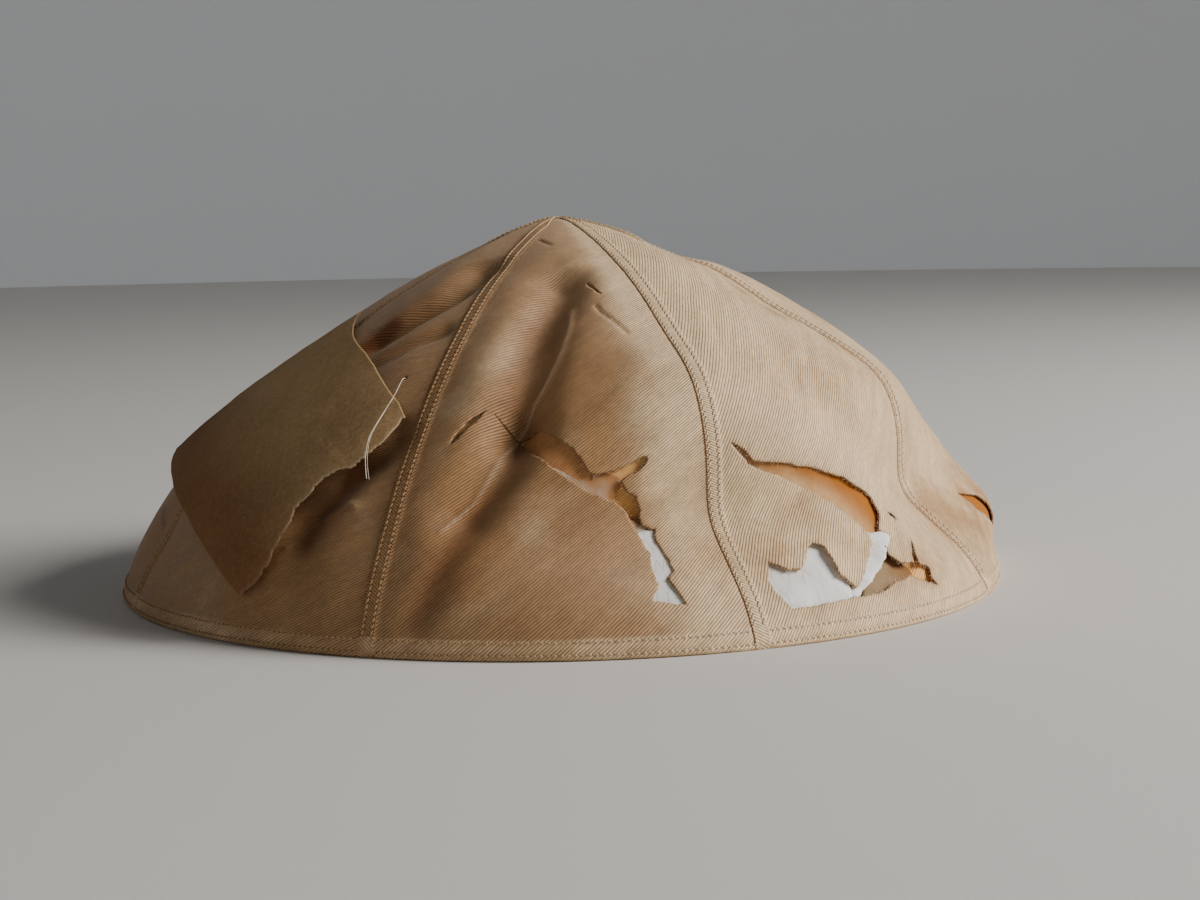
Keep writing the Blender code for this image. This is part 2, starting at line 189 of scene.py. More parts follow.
FoldRow = namedtuple("FoldRow", "line reach depth")
UPPER_RIDGE = ((-4.5, 0.66), (-9, 0.56), (-12.5, 0.43))
LOW_VALLEY = ((-4.4, 0.383), (-6.4, 0.288), (-10.7, 0.204), (-13.4, 0.134), (-15.8, 0.048))
FOLDS = table(
    FoldRow,
    (((2, 0.68), (-2.5, 0.58), (-4.5, 0.48), (-6, 0.36)), 0.056, -0.042),
    (((-6, 0.36), (-9, 0.28), (-12, 0.22)), 0.06, -0.03),
    (UPPER_RIDGE, 0.052, 0.018),
    (((-45, 0.54), (-33, 0.66), (-28, 0.74)), 0.04, -0.028),
    (((-41, 0.22), (-36, 0.26), (-31, 0.31)), 0.046, -0.026),
)
PULLED_THREAD = (
    (4.3, 0.615), (3.3, 0.57), (1, 0.505), (-1.3, 0.455), (-4.5, 0.395), (-6.7, 0.355), (-8.9, 0.295),
    (-11, 0.24), (-14.5, 0.19),
)
FINE_FOLDS = table(
    FoldRow,
    (PULLED_THREAD, 0.007, 0.004), (((-38, 0.49), (-31, 0.54), (-26, 0.57)), 0.02, -0.012),
    (((-46, 0.56), (-38, 0.63), (-30, 0.68)), 0.022, -0.012),
    (((-36.2, 0.153), (-32.4, 0.191), (-28.8, 0.229), (-27.5, 0.228)), 0.008, 0.006),
    (((-36, 0.19), (-32, 0.235), (-27.5, 0.3), (-25.5, 0.35)), 0.04, -0.026),
    (((10.2, 0.61), (10.8, 0.59), (12.4, 0.573), (13.9, 0.552), (14.8, 0.536)), 0.0045, -0.005),
    (((-9, 0.84), (-2, 0.81)), 0.0045, -0.0035),
    (LOW_VALLEY, 0.034, -0.013),
    (UPPER_RIDGE, 0.052, -0.012),
    (((-35, 0.2), (-33, 0.1)), 0.045, -0.01),
    (((44, 0.42), (47, 0.33), (55, 0.24)), 0.06, -0.01),
)
ALL_FOLDS = FOLDS + FINE_FOLDS


def patch(turn, rise, row):
    """1 at the row's place, dying away over its reaches."""
    off_turn = wrapped(turn - row.turn) / row.turn_reach
    off_rise = (rise - row.rise) / row.rise_reach
    return np.exp(-(off_turn**2) - off_rise**2)


def line_distance(turn, rise, line, radius, length):
    """Distance along the cloth to a line of places, in metres."""
    best = np.full(np.shape(turn), np.inf)
    for (turn_a, rise_a), (turn_b, rise_b) in zip(line, line[1:]):
        along_x = np.radians(turn_b - turn_a) * radius
        along_y = (rise_b - rise_a) * length
        to_x = np.radians(wrapped(turn - turn_a)) * radius
        to_y = (rise - rise_a) * length
        share = np.clip((to_x * along_x + to_y * along_y) / (along_x**2 + along_y**2), 0.0, 1.0)
        best = np.minimum(best, np.hypot(to_x - along_x * share, to_y - along_y * share))
    return best


def cap_point(turn, rise, folds=ALL_FOLDS):
    """Points of the cap's outer surface; folds is empty for the smooth form."""
    turn = np.asarray(turn, float)
    rise = np.clip(np.asarray(rise, float), 0.0, 1.0)
    radius, height = profile_point(turn, rise)
    length = profile_length(turn)
    push_by = np.zeros(turn.shape)
    for dent in DENTS:
        push_by += dent.depth * RIM_RADIUS * patch(turn, rise, dent)
    if folds:
        nearest = np.round(turn / GORE_TURN - 0.5) * GORE_TURN + GORE_TURN / 2
        seam_distance = np.radians(np.abs(turn - nearest)) * radius
        push_by -= SEAM_PULL * bell(seam_distance / SEAM_PULL_REACH)
        for fold in folds:
            distance = line_distance(turn, rise, fold.line, radius, length)
            reach = fold.reach * RIM_RADIUS
            push_by += fold.depth * RIM_RADIUS * bell(distance / reach)
    push_by *= 1.0 - np.exp(-rise * length / (2 * HEM_HEIGHT))
    push_by *= np.minimum(radius / (0.2 * RIM_RADIUS), 1.0)
    tilt = smooth_step(height / PEAK_HEIGHT) * math.pi / 3
    reach_out = radius + push_by * np.cos(tilt)
    angle = np.radians(turn)
    return np.stack(
        [reach_out * np.sin(angle), -reach_out * np.cos(angle), height + push_by * np.sin(tilt)], -1
    )


def cap_normal(turn, rise, folds=ALL_FOLDS):
    turn = np.asarray(turn, float)
    rise = np.asarray(rise, float)
    step_turn = 0.4
    step_rise = 0.003
    across = cap_point(turn + step_turn, rise, folds) - cap_point(turn - step_turn, rise, folds)
    higher = cap_point(turn, np.minimum(rise + step_rise, 1.0), folds)
    upward = higher - cap_point(turn, np.maximum(rise - step_rise, 0.0), folds)
    normal = np.cross(across, upward)
    return normal / np.linalg.norm(normal, axis=-1, keepdims=True)


print("profile length", round(float(profile_length(0.0)) / MM, 1), "mm")

# %% [markdown]
# ## Flat patterns
# Silk is cut flat and sewn round. Each gore is laid out flat here too, in metres of cloth, so
# that its mesh has even triangles, its tears are cut as outlines and its ribs run straight.

# %% Flat pattern helpers
class Pattern:
    """The flat pattern round one middle turn, and the way back to the cap."""

    def __init__(self, middle):
        self.middle = middle
        self.length = float(profile_length(middle))
        self.radii = profile_point(np.full(len(TABLE_RISES), middle), TABLE_RISES)[0]

    def flat(self, turn, rise):
        radius = np.interp(rise, TABLE_RISES, self.radii)
        x = np.radians(wrapped(np.asarray(turn, float) - self.middle)) * radius
        return np.stack([x, np.asarray(rise, float) * self.length], -1)

    def place(self, flat):
        rise = flat[..., 1] / self.length
        radius = np.maximum(np.interp(rise, TABLE_RISES, self.radii), 0.0002)
        return self.middle + np.degrees(flat[..., 0] / radius), rise


def outline_distance(points, outline):
    """Distance of flat points to a closed outline, below zero inside it."""
    best = np.full(len(points), np.inf)
    inside = np.zeros(len(points), bool)
    for a, b in zip(outline, np.roll(outline, -1, axis=0)):
        along = b - a
        to = points - a
        share = np.clip(to @ along / max(along @ along, 1e-18), 0.0, 1.0)
        best = np.minimum(best, np.hypot(*(to - share[:, None] * along).T))
        if a[1] != b[1]:
            crossing = a[0] + (points[:, 1] - a[1]) / (b[1] - a[1]) * along[0]
            inside ^= ((a[1] > points[:, 1]) != (b[1] > points[:, 1])) & (points[:, 0] < crossing)
    return np.where(inside, -best, best)


def across_gap(points, step):
    """Width of the gap at each point of a closed line: the way to its other side."""
    apart = np.hypot(*(points[:, None] - points[None]).transpose(2, 0, 1))
    between = np.abs(np.subtract.outer(np.arange(len(points)), np.arange(len(points))))
    between = np.minimum(between, len(points) - between) * step
    width = np.where(between > 2 * apart + 2 * step, apart, 1.0).min(axis=1)
    return np.min([np.roll(width, by) for by in range(-2, 3)], axis=0)


def ragged(outline, step, roughness, seed):
    """The outline in short steps, each nudged sideways by noise, as torn cloth is."""
    points, sides = [], []
    for a, b in zip(outline, np.roll(outline, -1, axis=0)):
        length = float(np.hypot(*(b - a)))
        count = max(int(round(length / step)), 1)
        points += [a + (b - a) * i / count for i in range(count)]
        sides += [np.array([-(b - a)[1], (b - a)[0]]) / max(length, 1e-9)] * count
    points, sides = np.array(points), np.array(sides)
    nudges = []
    for x, y in points / MM:
        spot = Vector((x, y, seed / MM))
        coarse, middle, fine = (noise.noise(spot * scale) for scale in (0.35, 1.3, 3.1))
        nudges.append(coarse + 0.6 * middle + 0.35 * fine)
    calm = np.clip(across_gap(points, step) / (1.3 * MM), 0.08, 1.0)
    return points + sides * (roughness * calm * np.array(nudges))[:, None]


def cut_cloth(border, holes, step, rows=None, added=None, taken=None):
    """Flat points and triangles that fill the border and leave the holes open; the added points
    take the place of the lattice's own where taken says so."""
    low, high = border.min(axis=0), border.max(axis=0)
    if rows is None:
        rows = np.arange(low[1] + step / 2, high[1], step)
    lattice = []
    for i, y in enumerate(rows):
        x = np.arange(low[0] + step * (0.25 + 0.5 * (i % 2)), high[0], step)
        lattice.append(np.stack([x, np.full(len(x), y)], -1))
    lattice = np.concatenate(lattice)
    margin = np.full(len(lattice), 0.4 * step)
    if added is not None:
        lattice = np.concatenate([lattice[~taken(lattice)], added])
        margin = np.full(len(lattice), 0.4 * step)
        margin[-len(added):] = 0.06 * MM
    keep = outline_distance(lattice, border) < -margin
    for hole in holes:
        keep &= outline_distance(lattice, hole) > margin
    points = [lattice[keep]]
    edges = []
    for loop in (border, *holes):
        start = sum(len(p) for p in points)
        edges += [(start + i, start + (i + 1) % len(loop)) for i in range(len(loop))]
        points.append(loop)
    flats = np.concatenate(points)
    found = delaunay_2d_cdt([Vector(p) for p in flats / MM], edges, [], 0, 1e-4)
    verts = np.array([v[:] for v in found[0]]) * MM
    faces = np.array(found[2])
    centres = verts[faces].mean(axis=1)
    keep = outline_distance(centres, border) < 0
    for hole in holes:
        keep &= outline_distance(centres, hole) > 0
    faces = faces[keep]
    used = np.unique(faces)
    renumber = np.full(len(verts), -1)
    renumber[used] = np.arange(len(used))
    return verts[used], renumber[faces]


# %% [markdown]
# ## From flat cloth to a wall
# Every sheet here is a closed wall: an outer skin, an inner skin and a rim that joins them, each
# with a material of its own, because the wrong side and the torn edge of old silk look different.

# %% Wall builder
def add_attribute(mesh, name, values):
    layer = mesh.attributes.new(name, "FLOAT", "POINT")
    layer.data.foreach_set("value", np.asarray(values, np.float32))


def build_wall(name, outer, inner, faces, materials, corner_uv, attributes):
    """A mesh object from two skins; corner_uv holds a flat place for each face's corners."""
    count = len(outer)
    directed = np.concatenate([faces[:, [0, 1]], faces[:, [1, 2]], faces[:, [2, 0]]])
    known = {tuple(edge) for edge in directed.tolist()}
    rim = np.array([edge for edge in directed.tolist() if (edge[1], edge[0]) not in known])
    rim_faces = np.stack([rim[:, 1], rim[:, 0], rim[:, 0] + count, rim[:, 1] + count], -1)
    polygons = faces.tolist() + (faces[:, ::-1] + count).tolist() + rim_faces.tolist()
    mesh = bpy.data.meshes.new(name)
    mesh.from_pydata(np.concatenate([outer, inner]).tolist(), [], polygons)
    for material in materials:
        mesh.materials.append(material)
    slots = np.zeros(len(polygons), int)
    slots[len(faces):2 * len(faces)] = min(1, len(materials) - 1)
    slots[2 * len(faces):] = len(materials) - 1
    mesh.polygons.foreach_set("material_index", slots)
    mesh.polygons.foreach_set("use_smooth", np.ones(len(polygons), bool))
    flat_of = np.zeros((2 * count, 2))
    flat_of[faces.ravel()] = corner_uv.reshape(-1, 2)
    flat_of[count:] = flat_of[:count]
    uv = np.concatenate([corner_uv.reshape(-1, 2), corner_uv[:, ::-1].reshape(-1, 2)])
    uv = np.concatenate([uv, flat_of[rim_faces.ravel()]])
    layer = mesh.uv_layers.new(name="weave")
    layer.data.foreach_set("uv", uv.ravel().astype(np.float32))
    for key, values in attributes.items():
        add_attribute(mesh, key, np.concatenate([values, values]))
    mesh.validate()
    return add_object(name, mesh)


def rolled(flats, degrees):
    """Flat places turned so that the ribs run along x."""
    angle = math.radians(-degrees)
    x, y = flats[..., 0], flats[..., 1]
    return np.stack(
        [x * math.cos(angle) - y * math.sin(angle), x * math.sin(angle) + y * math.cos(angle)], -1
    )


# %% [markdown]
# ## Materials
# Faille silk has fine raised ribs across the cloth. They are drawn from the flat pattern's own
# places, so they follow every fold. Age turned the cream silk tan and amber in patches, and
# browned the torn edges; the tan also carries painted shade on the side away from the light,
# hollows carry painted shade, and ridges and a crease carry painted highlights: those come from
# attributes that are worked out with the mesh.

# %% Node helper
def node(tree, kind, settings=None, **inputs):
    """Adds a node; a value or a socket may be given for each input by its name or number."""
    made = tree.nodes.new(kind)
    for key, value in (settings or {}).items():
        setattr(made, key, value)
    for key, value in inputs.items():
        socket = made.inputs[int(key[1:])] if key[0] == "i" and key[1:].isdigit() else None
        if socket is None:
            socket = made.inputs[key.replace("_", " ")]
        if isinstance(value, bpy.types.NodeSocket):
            tree.links.new(value, socket)
        else:
            socket.default_value = value
    return made


def maths(tree, operation, a, b=0.0, c=0.5):
    return node(tree, "ShaderNodeMath", {"operation": operation}, i0=a, i1=b, i2=c).outputs[0]


def times(tree, a, b):
    return maths(tree, "MULTIPLY", a, b)


def plus(tree, value, factor, offset):
    """value * factor + offset, where each may be a socket."""
    return maths(tree, "MULTIPLY_ADD", value, factor, offset)


def combine(tree, **axes):
    return node(tree, "ShaderNodeCombineXYZ", **axes).outputs[0]


def noise_at(tree, places, scale, detail, roughness=0.5):
    return node(
        tree, "ShaderNodeTexNoise", Vector=places, Scale=scale, Detail=detail, Roughness=roughness
    ).outputs[0]


def fade(tree, value, start, end):
    """0 at start, 1 at end, smooth between."""
    made = node(
        tree, "ShaderNodeMapRange", {"interpolation_type": "SMOOTHSTEP"},
        Value=value, From_Min=start, From_Max=end,
    )
    return made.outputs["Result"]


def mix(tree, factor, a, b, blend="MIX"):
    made = node(tree, "ShaderNodeMix", {"data_type": "RGBA", "blend_type": blend}, i0=factor)
    for index, value in ((6, a), (7, b)):
        if isinstance(value, bpy.types.NodeSocket):
            tree.links.new(value, made.inputs[index])
        else:
            made.inputs[index].default_value = (*value, 1.0)
    return made.outputs[2]


def attribute(tree, name):
    return node(tree, "ShaderNodeAttribute", {"attribute_name": name}).outputs["Fac"]


def blank_material(name, roughness, specular):
    material = bpy.data.materials.new(name)
    material.use_nodes = True
    shader = material.node_tree.nodes["Principled BSDF"]
    shader.inputs["Roughness"].default_value = roughness
    shader.inputs["Specular IOR Level"].default_value = specular
    return material, material.node_tree, shader


def link_surface(tree, shader, colour, height, strength, distance):
    """Links the colour, and the height as bump."""
    tree.links.new(colour, shader.inputs["Base Color"])
    bump = node(tree, "ShaderNodeBump", Strength=strength, Distance=distance, Height=height)
    tree.links.new(bump.outputs[0], shader.inputs["Normal"])


def object_places(tree):
    return node(tree, "ShaderNodeTexCoord").outputs["Object"]


# %% Silk
RIB_PITCH = 0.49 * MM
CREAM = (0.780, 0.600, 0.385)
# A tan made darker than aged silk alone, to carry painted shade on the side away from the light
SHADED_TAN = (0.385, 0.235, 0.120)
AMBER = (0.420, 0.220, 0.085)
RUST = (0.180, 0.075, 0.025)
# Painted highlight along the pulled thread's crease
CREASE_HIGHLIGHT_PALE = (0.860, 0.770, 0.640)
SEAM_BROWN = (0.400, 0.200, 0.095)
# Dark brown of the painted shade in hollows
SHADE_BROWN = (0.120, 0.035, 0.008)
# The lining's oranges are painted brighter than the cloth, a painted glow for light through the thin silk
BRIGHTENED_INSIDE_ORANGE = (0.980, 0.600, 0.230)
BRIGHTENED_INSIDE_BROWN = (0.900, 0.470, 0.150)
GROOVE = (0.46, 0.34, 0.24)
FAINT_GROOVE = (0.82, 0.74, 0.64)


def fade_between(tree, value, low, high):
    """Spreads a noise value, mostly 0.3 to 0.7, over a range."""
    made = node(
        tree, "ShaderNodeMapRange", Value=value, From_Min=0.3, From_Max=0.7, To_Min=low, To_Max=high
    )
    return made.outputs["Result"]


def ribs(tree, places):
    """Rounded ribs with narrow grooves, and the slubs along them, from the flat pattern's UV map."""
    weave = node(tree, "ShaderNodeUVMap", {"uv_map": "weave"}).outputs[0]
    split = node(tree, "ShaderNodeSeparateXYZ", Vector=weave)
    along, across = split.outputs[0], split.outputs[1]
    wander = noise_at(tree, places, 140.0, 2.0)
    phase = plus(tree, across, math.pi / RIB_PITCH, times(tree, wander, 2.2))
    wave = maths(tree, "ABSOLUTE", maths(tree, "SINE", phase))
    rib = maths(tree, "POWER", wave, 0.7)
    thread = combine(tree, X=times(tree, along, 700.0), Y=times(tree, across, 1.0 / RIB_PITCH))
    slub = noise_at(tree, thread, 1.0, 2.0)
    return rib, slub, along, across


def silk_material(name, light, dark, sheen, aged, groove=GROOVE):
    """Aged silk also takes the tan with its painted shade, the stains, the painted shade in hollows, the
    painted highlight on a crease and the browned edges that come with the mesh.
    """
    material, tree, shader = blank_material(name, 0.55, 0.22)
    shader.inputs["Sheen Weight"].default_value = sheen
    shader.inputs["Sheen Tint"].default_value = (1.0, 0.82, 0.60, 1.0)
    shader.inputs["Sheen Roughness"].default_value = 0.40
    places = object_places(tree)
    rib, slub, along, across = ribs(tree, places)
    watered = combine(tree, X=times(tree, along, 70.0), Y=times(tree, across, 420.0))
    moire = noise_at(tree, watered, 1.0, 3.0)
    cloud = noise_at(tree, places, 55.0, 5.0, 0.6)
    cloudy = plus(tree, maths(tree, "SUBTRACT", cloud, 0.5), 1.5, 0.0)
    # The tan share carries painted shade as well as age
    if aged:
        amount = maths(tree, "ADD", attribute(tree, "tan"), cloudy)
        colour = mix(tree, fade(tree, amount, 0.0, 1.0), light, dark)
    else:
        colour = mix(tree, fade(tree, cloud, 0.35, 0.65), light, dark)
    # Stains, some of them painted shade in hollows
    stain = times(tree, attribute(tree, "stain"), fade(tree, cloud, 0.34, 0.58))
    colour = mix(tree, stain, colour, AMBER)
    ragged_edge = plus(tree, maths(tree, "SUBTRACT", slub, 0.5), 1.0, attribute(tree, "edge"))
    colour = mix(tree, times(tree, fade(tree, ragged_edge, 1.6, 0.1), 0.16), colour, AMBER)
    colour = mix(tree, times(tree, fade(tree, ragged_edge, 0.25, 0.02), 0.20), colour, RUST)
    # Painted highlight along the pulled thread's crease
    colour = mix(tree, times(tree, attribute(tree, "crease_highlight"), 0.38), colour, CREASE_HIGHLIGHT_PALE)
    # Painted shade in hollows and soft patches
    colour = mix(tree, attribute(tree, "painted_shade"), colour, SHADE_BROWN)
    seam = times(tree, fade(tree, attribute(tree, "seam"), 0.24, 0.05), 0.75)
    colour = mix(tree, seam, colour, SEAM_BROWN)
    colour = mix(tree, 1.0, colour, mix(tree, rib, groove, (1.14, 1.10, 1.05)), "MULTIPLY")
    shade = fade_between(tree, slub, 0.86, 1.14)
    shade = times(tree, shade, fade_between(tree, moire, 0.86, 1.12))
    grey = node(tree, "ShaderNodeCombineColor", Red=shade, Green=shade, Blue=shade).outputs[0]
    colour = mix(tree, 1.0, colour, grey, "MULTIPLY")
    link_surface(tree, shader, colour, plus(tree, slub, 0.45, rib), 0.9, 0.11 * MM)
    tree.links.new(fade_between(tree, moire, 0.44, 0.64), shader.inputs["Roughness"])
    return material


silk = silk_material("silk", CREAM, SHADED_TAN, 0.18, True)
silk_inside = silk_material("silk_inside", BRIGHTENED_INSIDE_ORANGE, BRIGHTENED_INSIDE_BROWN, 0.1, False, FAINT_GROOVE)
silk_edge = silk_material("silk_edge", (0.74, 0.56, 0.36), (0.56, 0.37, 0.19), 0.1, False)
print("silk ribs every", RIB_PITCH / MM, "mm")

# %% [markdown]
# ## Tears
# The outlines are places on the cap, as in the solids. A tear is then cut as a ragged line, and
# the cloth beside it lifts, sags or curls by the rows below.

# %% Tears and the lie of the cloth beside them
TEARS = {
    "front_tear": (
        0,
        (
            (-10, 0.397), (-8, 0.382), (-6.2, 0.367), (-4.4, 0.369), (-2.7, 0.374), (-0.5, 0.355),
            (1.3, 0.336), (2.8, 0.321), (4, 0.304), (4.8, 0.285), (5.6, 0.28), (8.5, 0.284),
            (10.6, 0.294), (12.7, 0.306), (13.5, 0.306), (13.4, 0.298), (12.1, 0.283), (10.5, 0.278),
            (9.4, 0.269), (9.7, 0.259), (10.4, 0.248), (11.4, 0.244), (11.6, 0.23), (11.7, 0.206),
            (12, 0.194), (13.3, 0.186), (14, 0.189), (13.5, 0.168), (14.3, 0.149), (14.7, 0.132),
            (15, 0.116), (13.9, 0.104), (14.6, 0.086), (15.4, 0.066), (11.4, 0.076), (12.5, 0.098),
            (12.2, 0.129), (12.6, 0.148), (11.7, 0.166), (11, 0.188), (9.8, 0.219), (8.1, 0.237),
            (5.5, 0.249), (3.2, 0.266), (1.2, 0.283), (-0.8, 0.299), (-2.9, 0.321), (-5.7, 0.36),
            (-7.9, 0.378),
        ),
    ),
    "front_slit": (
        0,
        ((-11, 0.4), (-12.8, 0.384), (-14.1, 0.369), (-15.2, 0.348), (-15.6, 0.333),
         (-14.4, 0.346), (-13.3, 0.364), (-12, 0.381)),
    ),
    "top_slit": (
        0,
        ((9.9, 0.687), (11.2, 0.665), (12.4, 0.637), (11.5, 0.645), (10.2, 0.672)),
    ),
    "hanging_flap": (
        45,
        (
            (26.5, 0.317), (28.3, 0.304), (29.9, 0.284), (32.6, 0.279), (35.4, 0.273), (38.6, 0.263),
            (41.8, 0.249), (44.7, 0.233), (47.1, 0.215), (48.8, 0.198), (48.9, 0.172), (47.9, 0.156),
            (46.9, 0.145), (47.7, 0.127), (45.9, 0.116), (45.8, 0.103), (47.1, 0.09), (49, 0.086),
            (50, 0.085), (50.6, 0.098), (52.6, 0.118), (51.6, 0.097), (51.1, 0.083), (53.2, 0.074),
            (52.2, 0.06), (53.2, 0.045), (50, 0.059), (47.6, 0.067), (44.5, 0.065), (42.4, 0.057),
            (38.9, 0.053), (37.3, 0.054), (33.4, 0.051), (28.3, 0.05), (27.6, 0.062), (26.9, 0.076),
            (26.6, 0.091), (27.7, 0.114), (28.6, 0.109), (29.7, 0.1), (31.4, 0.1), (32.9, 0.113),
            (33.9, 0.131), (34.9, 0.135), (35.9, 0.127), (36.1, 0.102), (36.2, 0.087), (37.1, 0.076),
            (38, 0.066), (39.3, 0.075), (41.8, 0.102), (43.3, 0.118), (44.2, 0.125), (44.5, 0.14),
            (43.8, 0.162), (42.2, 0.184), (39.9, 0.208), (37.8, 0.228), (35.5, 0.244), (33.3, 0.257),
            (31, 0.269), (28.9, 0.281), (27.7, 0.298),
        ),
    ),
    "small_hole": (
        45,
        ((50.4, 0.167), (51.5, 0.163), (52.2, 0.151), (51.2, 0.15), (50.6, 0.157)),
    ),
    "side_slot": (
        90,
        ((81, 0.15), (85.5, 0.132), (87.6, 0.1), (88.9, 0.07), (85, 0.082), (82, 0.114)),
    ),
    "thread_hole": (
        315,
        ((-28.8, 0.463), (-28.7, 0.4655), (-28.4, 0.4665), (-28.1, 0.4655), (-28, 0.463),
         (-28.1, 0.4605), (-28.4, 0.4595), (-28.7, 0.4605)),
    ),
}
TORN_STEP = 0.30 * MM
TORN_ROUGHNESS = 0.30 * MM
LIFT_REACH = 5.0

# Where the cloth beside a tear stands off its bed, in millimetres
LiftRow = namedtuple("LiftRow", "turn rise reach height")
LIFTS = table(
    LiftRow,
    (12.5, 0.25, 3.5, 0.8), (14.5, 0.145, 4, -0.15), (4, 0.32, 5, 0.4), (5, 0.215, 6, -0.25),
    (10, 0.14, 4, -0.25), (-7, 0.345, 4, 0.3), (36, 0.225, 6, -0.8), (43, 0.155, 5, -0.55),
    (36, 0.11, 4, 0.9), (30, 0.12, 4, 0.6), (46, 0.24, 5, 0.2), (51, 0.15, 4, 0.7), (46, 0.058, 3, 0.4),
    (87, 0.12, 5, 0.3),
)

# Patches where age has browned the silk, with some patches of painted shade in the hollow below the label
# and in a valley: turn, reach, rise, reach, strength
PatchRow = namedtuple("PatchRow", "turn turn_reach rise rise_reach strength")
STAINS_AND_SHADE = table(
    PatchRow,
    (3, 9, 0.42, 0.14, 0.55), (-9, 5, 0.3, 0.1, 0.35), (-30, 3, 0.27, 0.06, 0.8),
    (33, 5, 0.18, 0.05, 0.5), (75, 14, 0.12, 0.1, 0.6), (-12, 6, 0.18, 0.12, 0.5),
    (8, 7, 0.3, 0.05, 0.45), (20, 5, 0.11, 0.05, 0.3), (31, 6, 0.1, 0.05, 0.5),
    (35, 6, 0.22, 0.03, 0.5), (50, 6, 0.07, 0.04, 0.5), (52, 10, 0.42, 0.05, 0.25),
    (61, 3, 0.64, 0.02, 0.6), (60, 3, 0.57, 0.02, 0.6), (-40, 22, 0.25, 0.3, 0.4),
    (-75, 14, 0.1, 0.1, 0.8), (86, 7, 0.12, 0.06, 0.6),
)

# Soft patches of painted shade
SHADE_PATCHES = table(
    PatchRow,
    (-42, 16, 0.58, 0.2, 0.35), (-13, 5, 0.17, 0.08, 0.15), (-82, 14, 0.1, 0.14, 0.2),
    (2, 7, 0.18, 0.08, 0.22), (-14, 12, 0.78, 0.12, 0.3),
)

# Lines of painted shade in hollows, slots and a slit, and ridges lightened as painted highlight: reach in
# millimetres
MarkRow = namedtuple("MarkRow", "line reach strength")
HOLLOW_SHADE_LINES = table(
    MarkRow,
    (LOW_VALLEY, 2.6, 0.45),
    (((-30.9, 0.3), (-30.8, 0.255), (-31.1, 0.229), (-32.2, 0.2), (-33.1, 0.163)), 3, 0.85),
    (((-26.8, 0.31), (-30, 0.275)), 2.4, 0.55), (((-48.4, 0.538), (-45.2, 0.598)), 1.5, 0.75),
    (((-36.8, 0.48), (-33, 0.514)), 1, 0.6), (((-75, 0.167), (-70.3, 0.141)), 0.5, 0.8),
    (((1.5, 0.69), (-3.5, 0.59), (-6.5, 0.5), (-8, 0.42)), 3.4, 0.42),
)
# Ridges lightened as painted highlight
RIDGE_HIGHLIGHTS = table(
    MarkRow,
    (((-2.5, 0.24), (-5.4, 0.168), (-8.7, 0.068)), 4.5, 0.24),
    (((1, 0.708), (-5.8, 0.61), (-10, 0.522), (-13.6, 0.453), (-17.2, 0.399)), 3.6, 0.32),
    (((-16.7, 0.316), (-17, 0.257)), 3, 0.25),
)

# How far the cream is painted tan round the cap: aged tan, and painted shade that darkens the front and
# left, the side away from the light
TanAndShadeRow = namedtuple("TanAndShadeRow", "turn amount")
TAN_AND_SHADE_ROUND = table(
    TanAndShadeRow,
    (-180, 0.35), (-110, 0.75), (-60, 1), (-10, 1), (4, 0.98), (12, 0.66), (17, 0.32), (22.4, 0.3),
    (22.6, 0.1), (45, 0.16), (110, 0.3), (180, 0.35),
)


def spread(turn, rise, rows):
    """Sum of soft patches."""
    return sum(row.strength * patch(turn, rise, row) for row in rows)


def marks(turn, rise, rows):
    """Sum of soft lines."""
    size = profile_size(turn, rise)
    return sum(
        row.strength * bell(line_distance(turn, rise, row.line, *size) / (row.reach * MM)) for row in rows
    )


def tan_and_shade_at(turn):
    return np.interp(wrapped(turn), *zip(*TAN_AND_SHADE_ROUND))


def tear_lift(turn, rise, edge):
    """How far the cloth stands off, in metres, dying away from the torn edges."""
    total = np.zeros(len(turn))
    radius, length = profile_size(turn, rise)
    for row in LIFTS:
        off_x = np.radians(wrapped(turn - row.turn)) * radius / MM
        off_y = (rise - row.rise) * length / MM
        total += row.height * np.exp(-(off_x**2 + off_y**2) / row.reach**2)
    return total * MM * np.exp(-edge / LIFT_REACH)


# %% [markdown]
# ## Gores
# Each gore's left edge is folded under and felled over its neighbour: a raised strip, 3 mm wide,
# held by two rows of stitches. The right edge runs on under the next gore's strip. The hem is the
# gore's own foot turned in.

# %% Build the gores
STRIP_WIDTH = 3.0 * MM
STRIP_RAISE = 0.24 * MM
UNDERLAP = 1.6 * MM
SILK_THICKNESS = 0.30 * MM
HEM_DEPTH = 1.6 * MM
HEM_RAISE = 0.25 * MM
HEM_ROUND = 0.7 * MM
STRIP_RIB_TURN = -80.0
STRIP_STITCHES = (0.6 * MM, 2.4 * MM)
HEM_STITCHES = (1.0 * MM, HEM_HEIGHT - 0.25 * MM)
SLACK_ABOVE_HEM = 8 * MM
STITCH_DENT = 0.12 * MM
STITCH_DENT_REACH = 0.30 * MM
HEM_STITCH_DENT = 0.16 * MM
HEM_STITCH_DENT_REACH = 0.32 * MM
UNDERLAP_SINK = 0.12 * MM
FOLD_ROUND = 0.35 * MM
CREASE_REACH = 0.22 * MM
FAR_FROM_EDGE = 9.0

GoreRow = namedtuple("GoreRow", "name step rib_degrees")
GORES = table(
    GoreRow,
    ("gore_front", 0.46, 40), ("gore_front_right", 0.46, 52), ("gore_right", 0.6, 48),
    ("gore_back_right", 1.1, 40), ("gore_back", 1.1, 40), ("gore_back_left", 1.1, 40),
    ("gore_left", 0.9, 40), ("gore_front_left", 0.5, 30),
)
torn_outlines = []


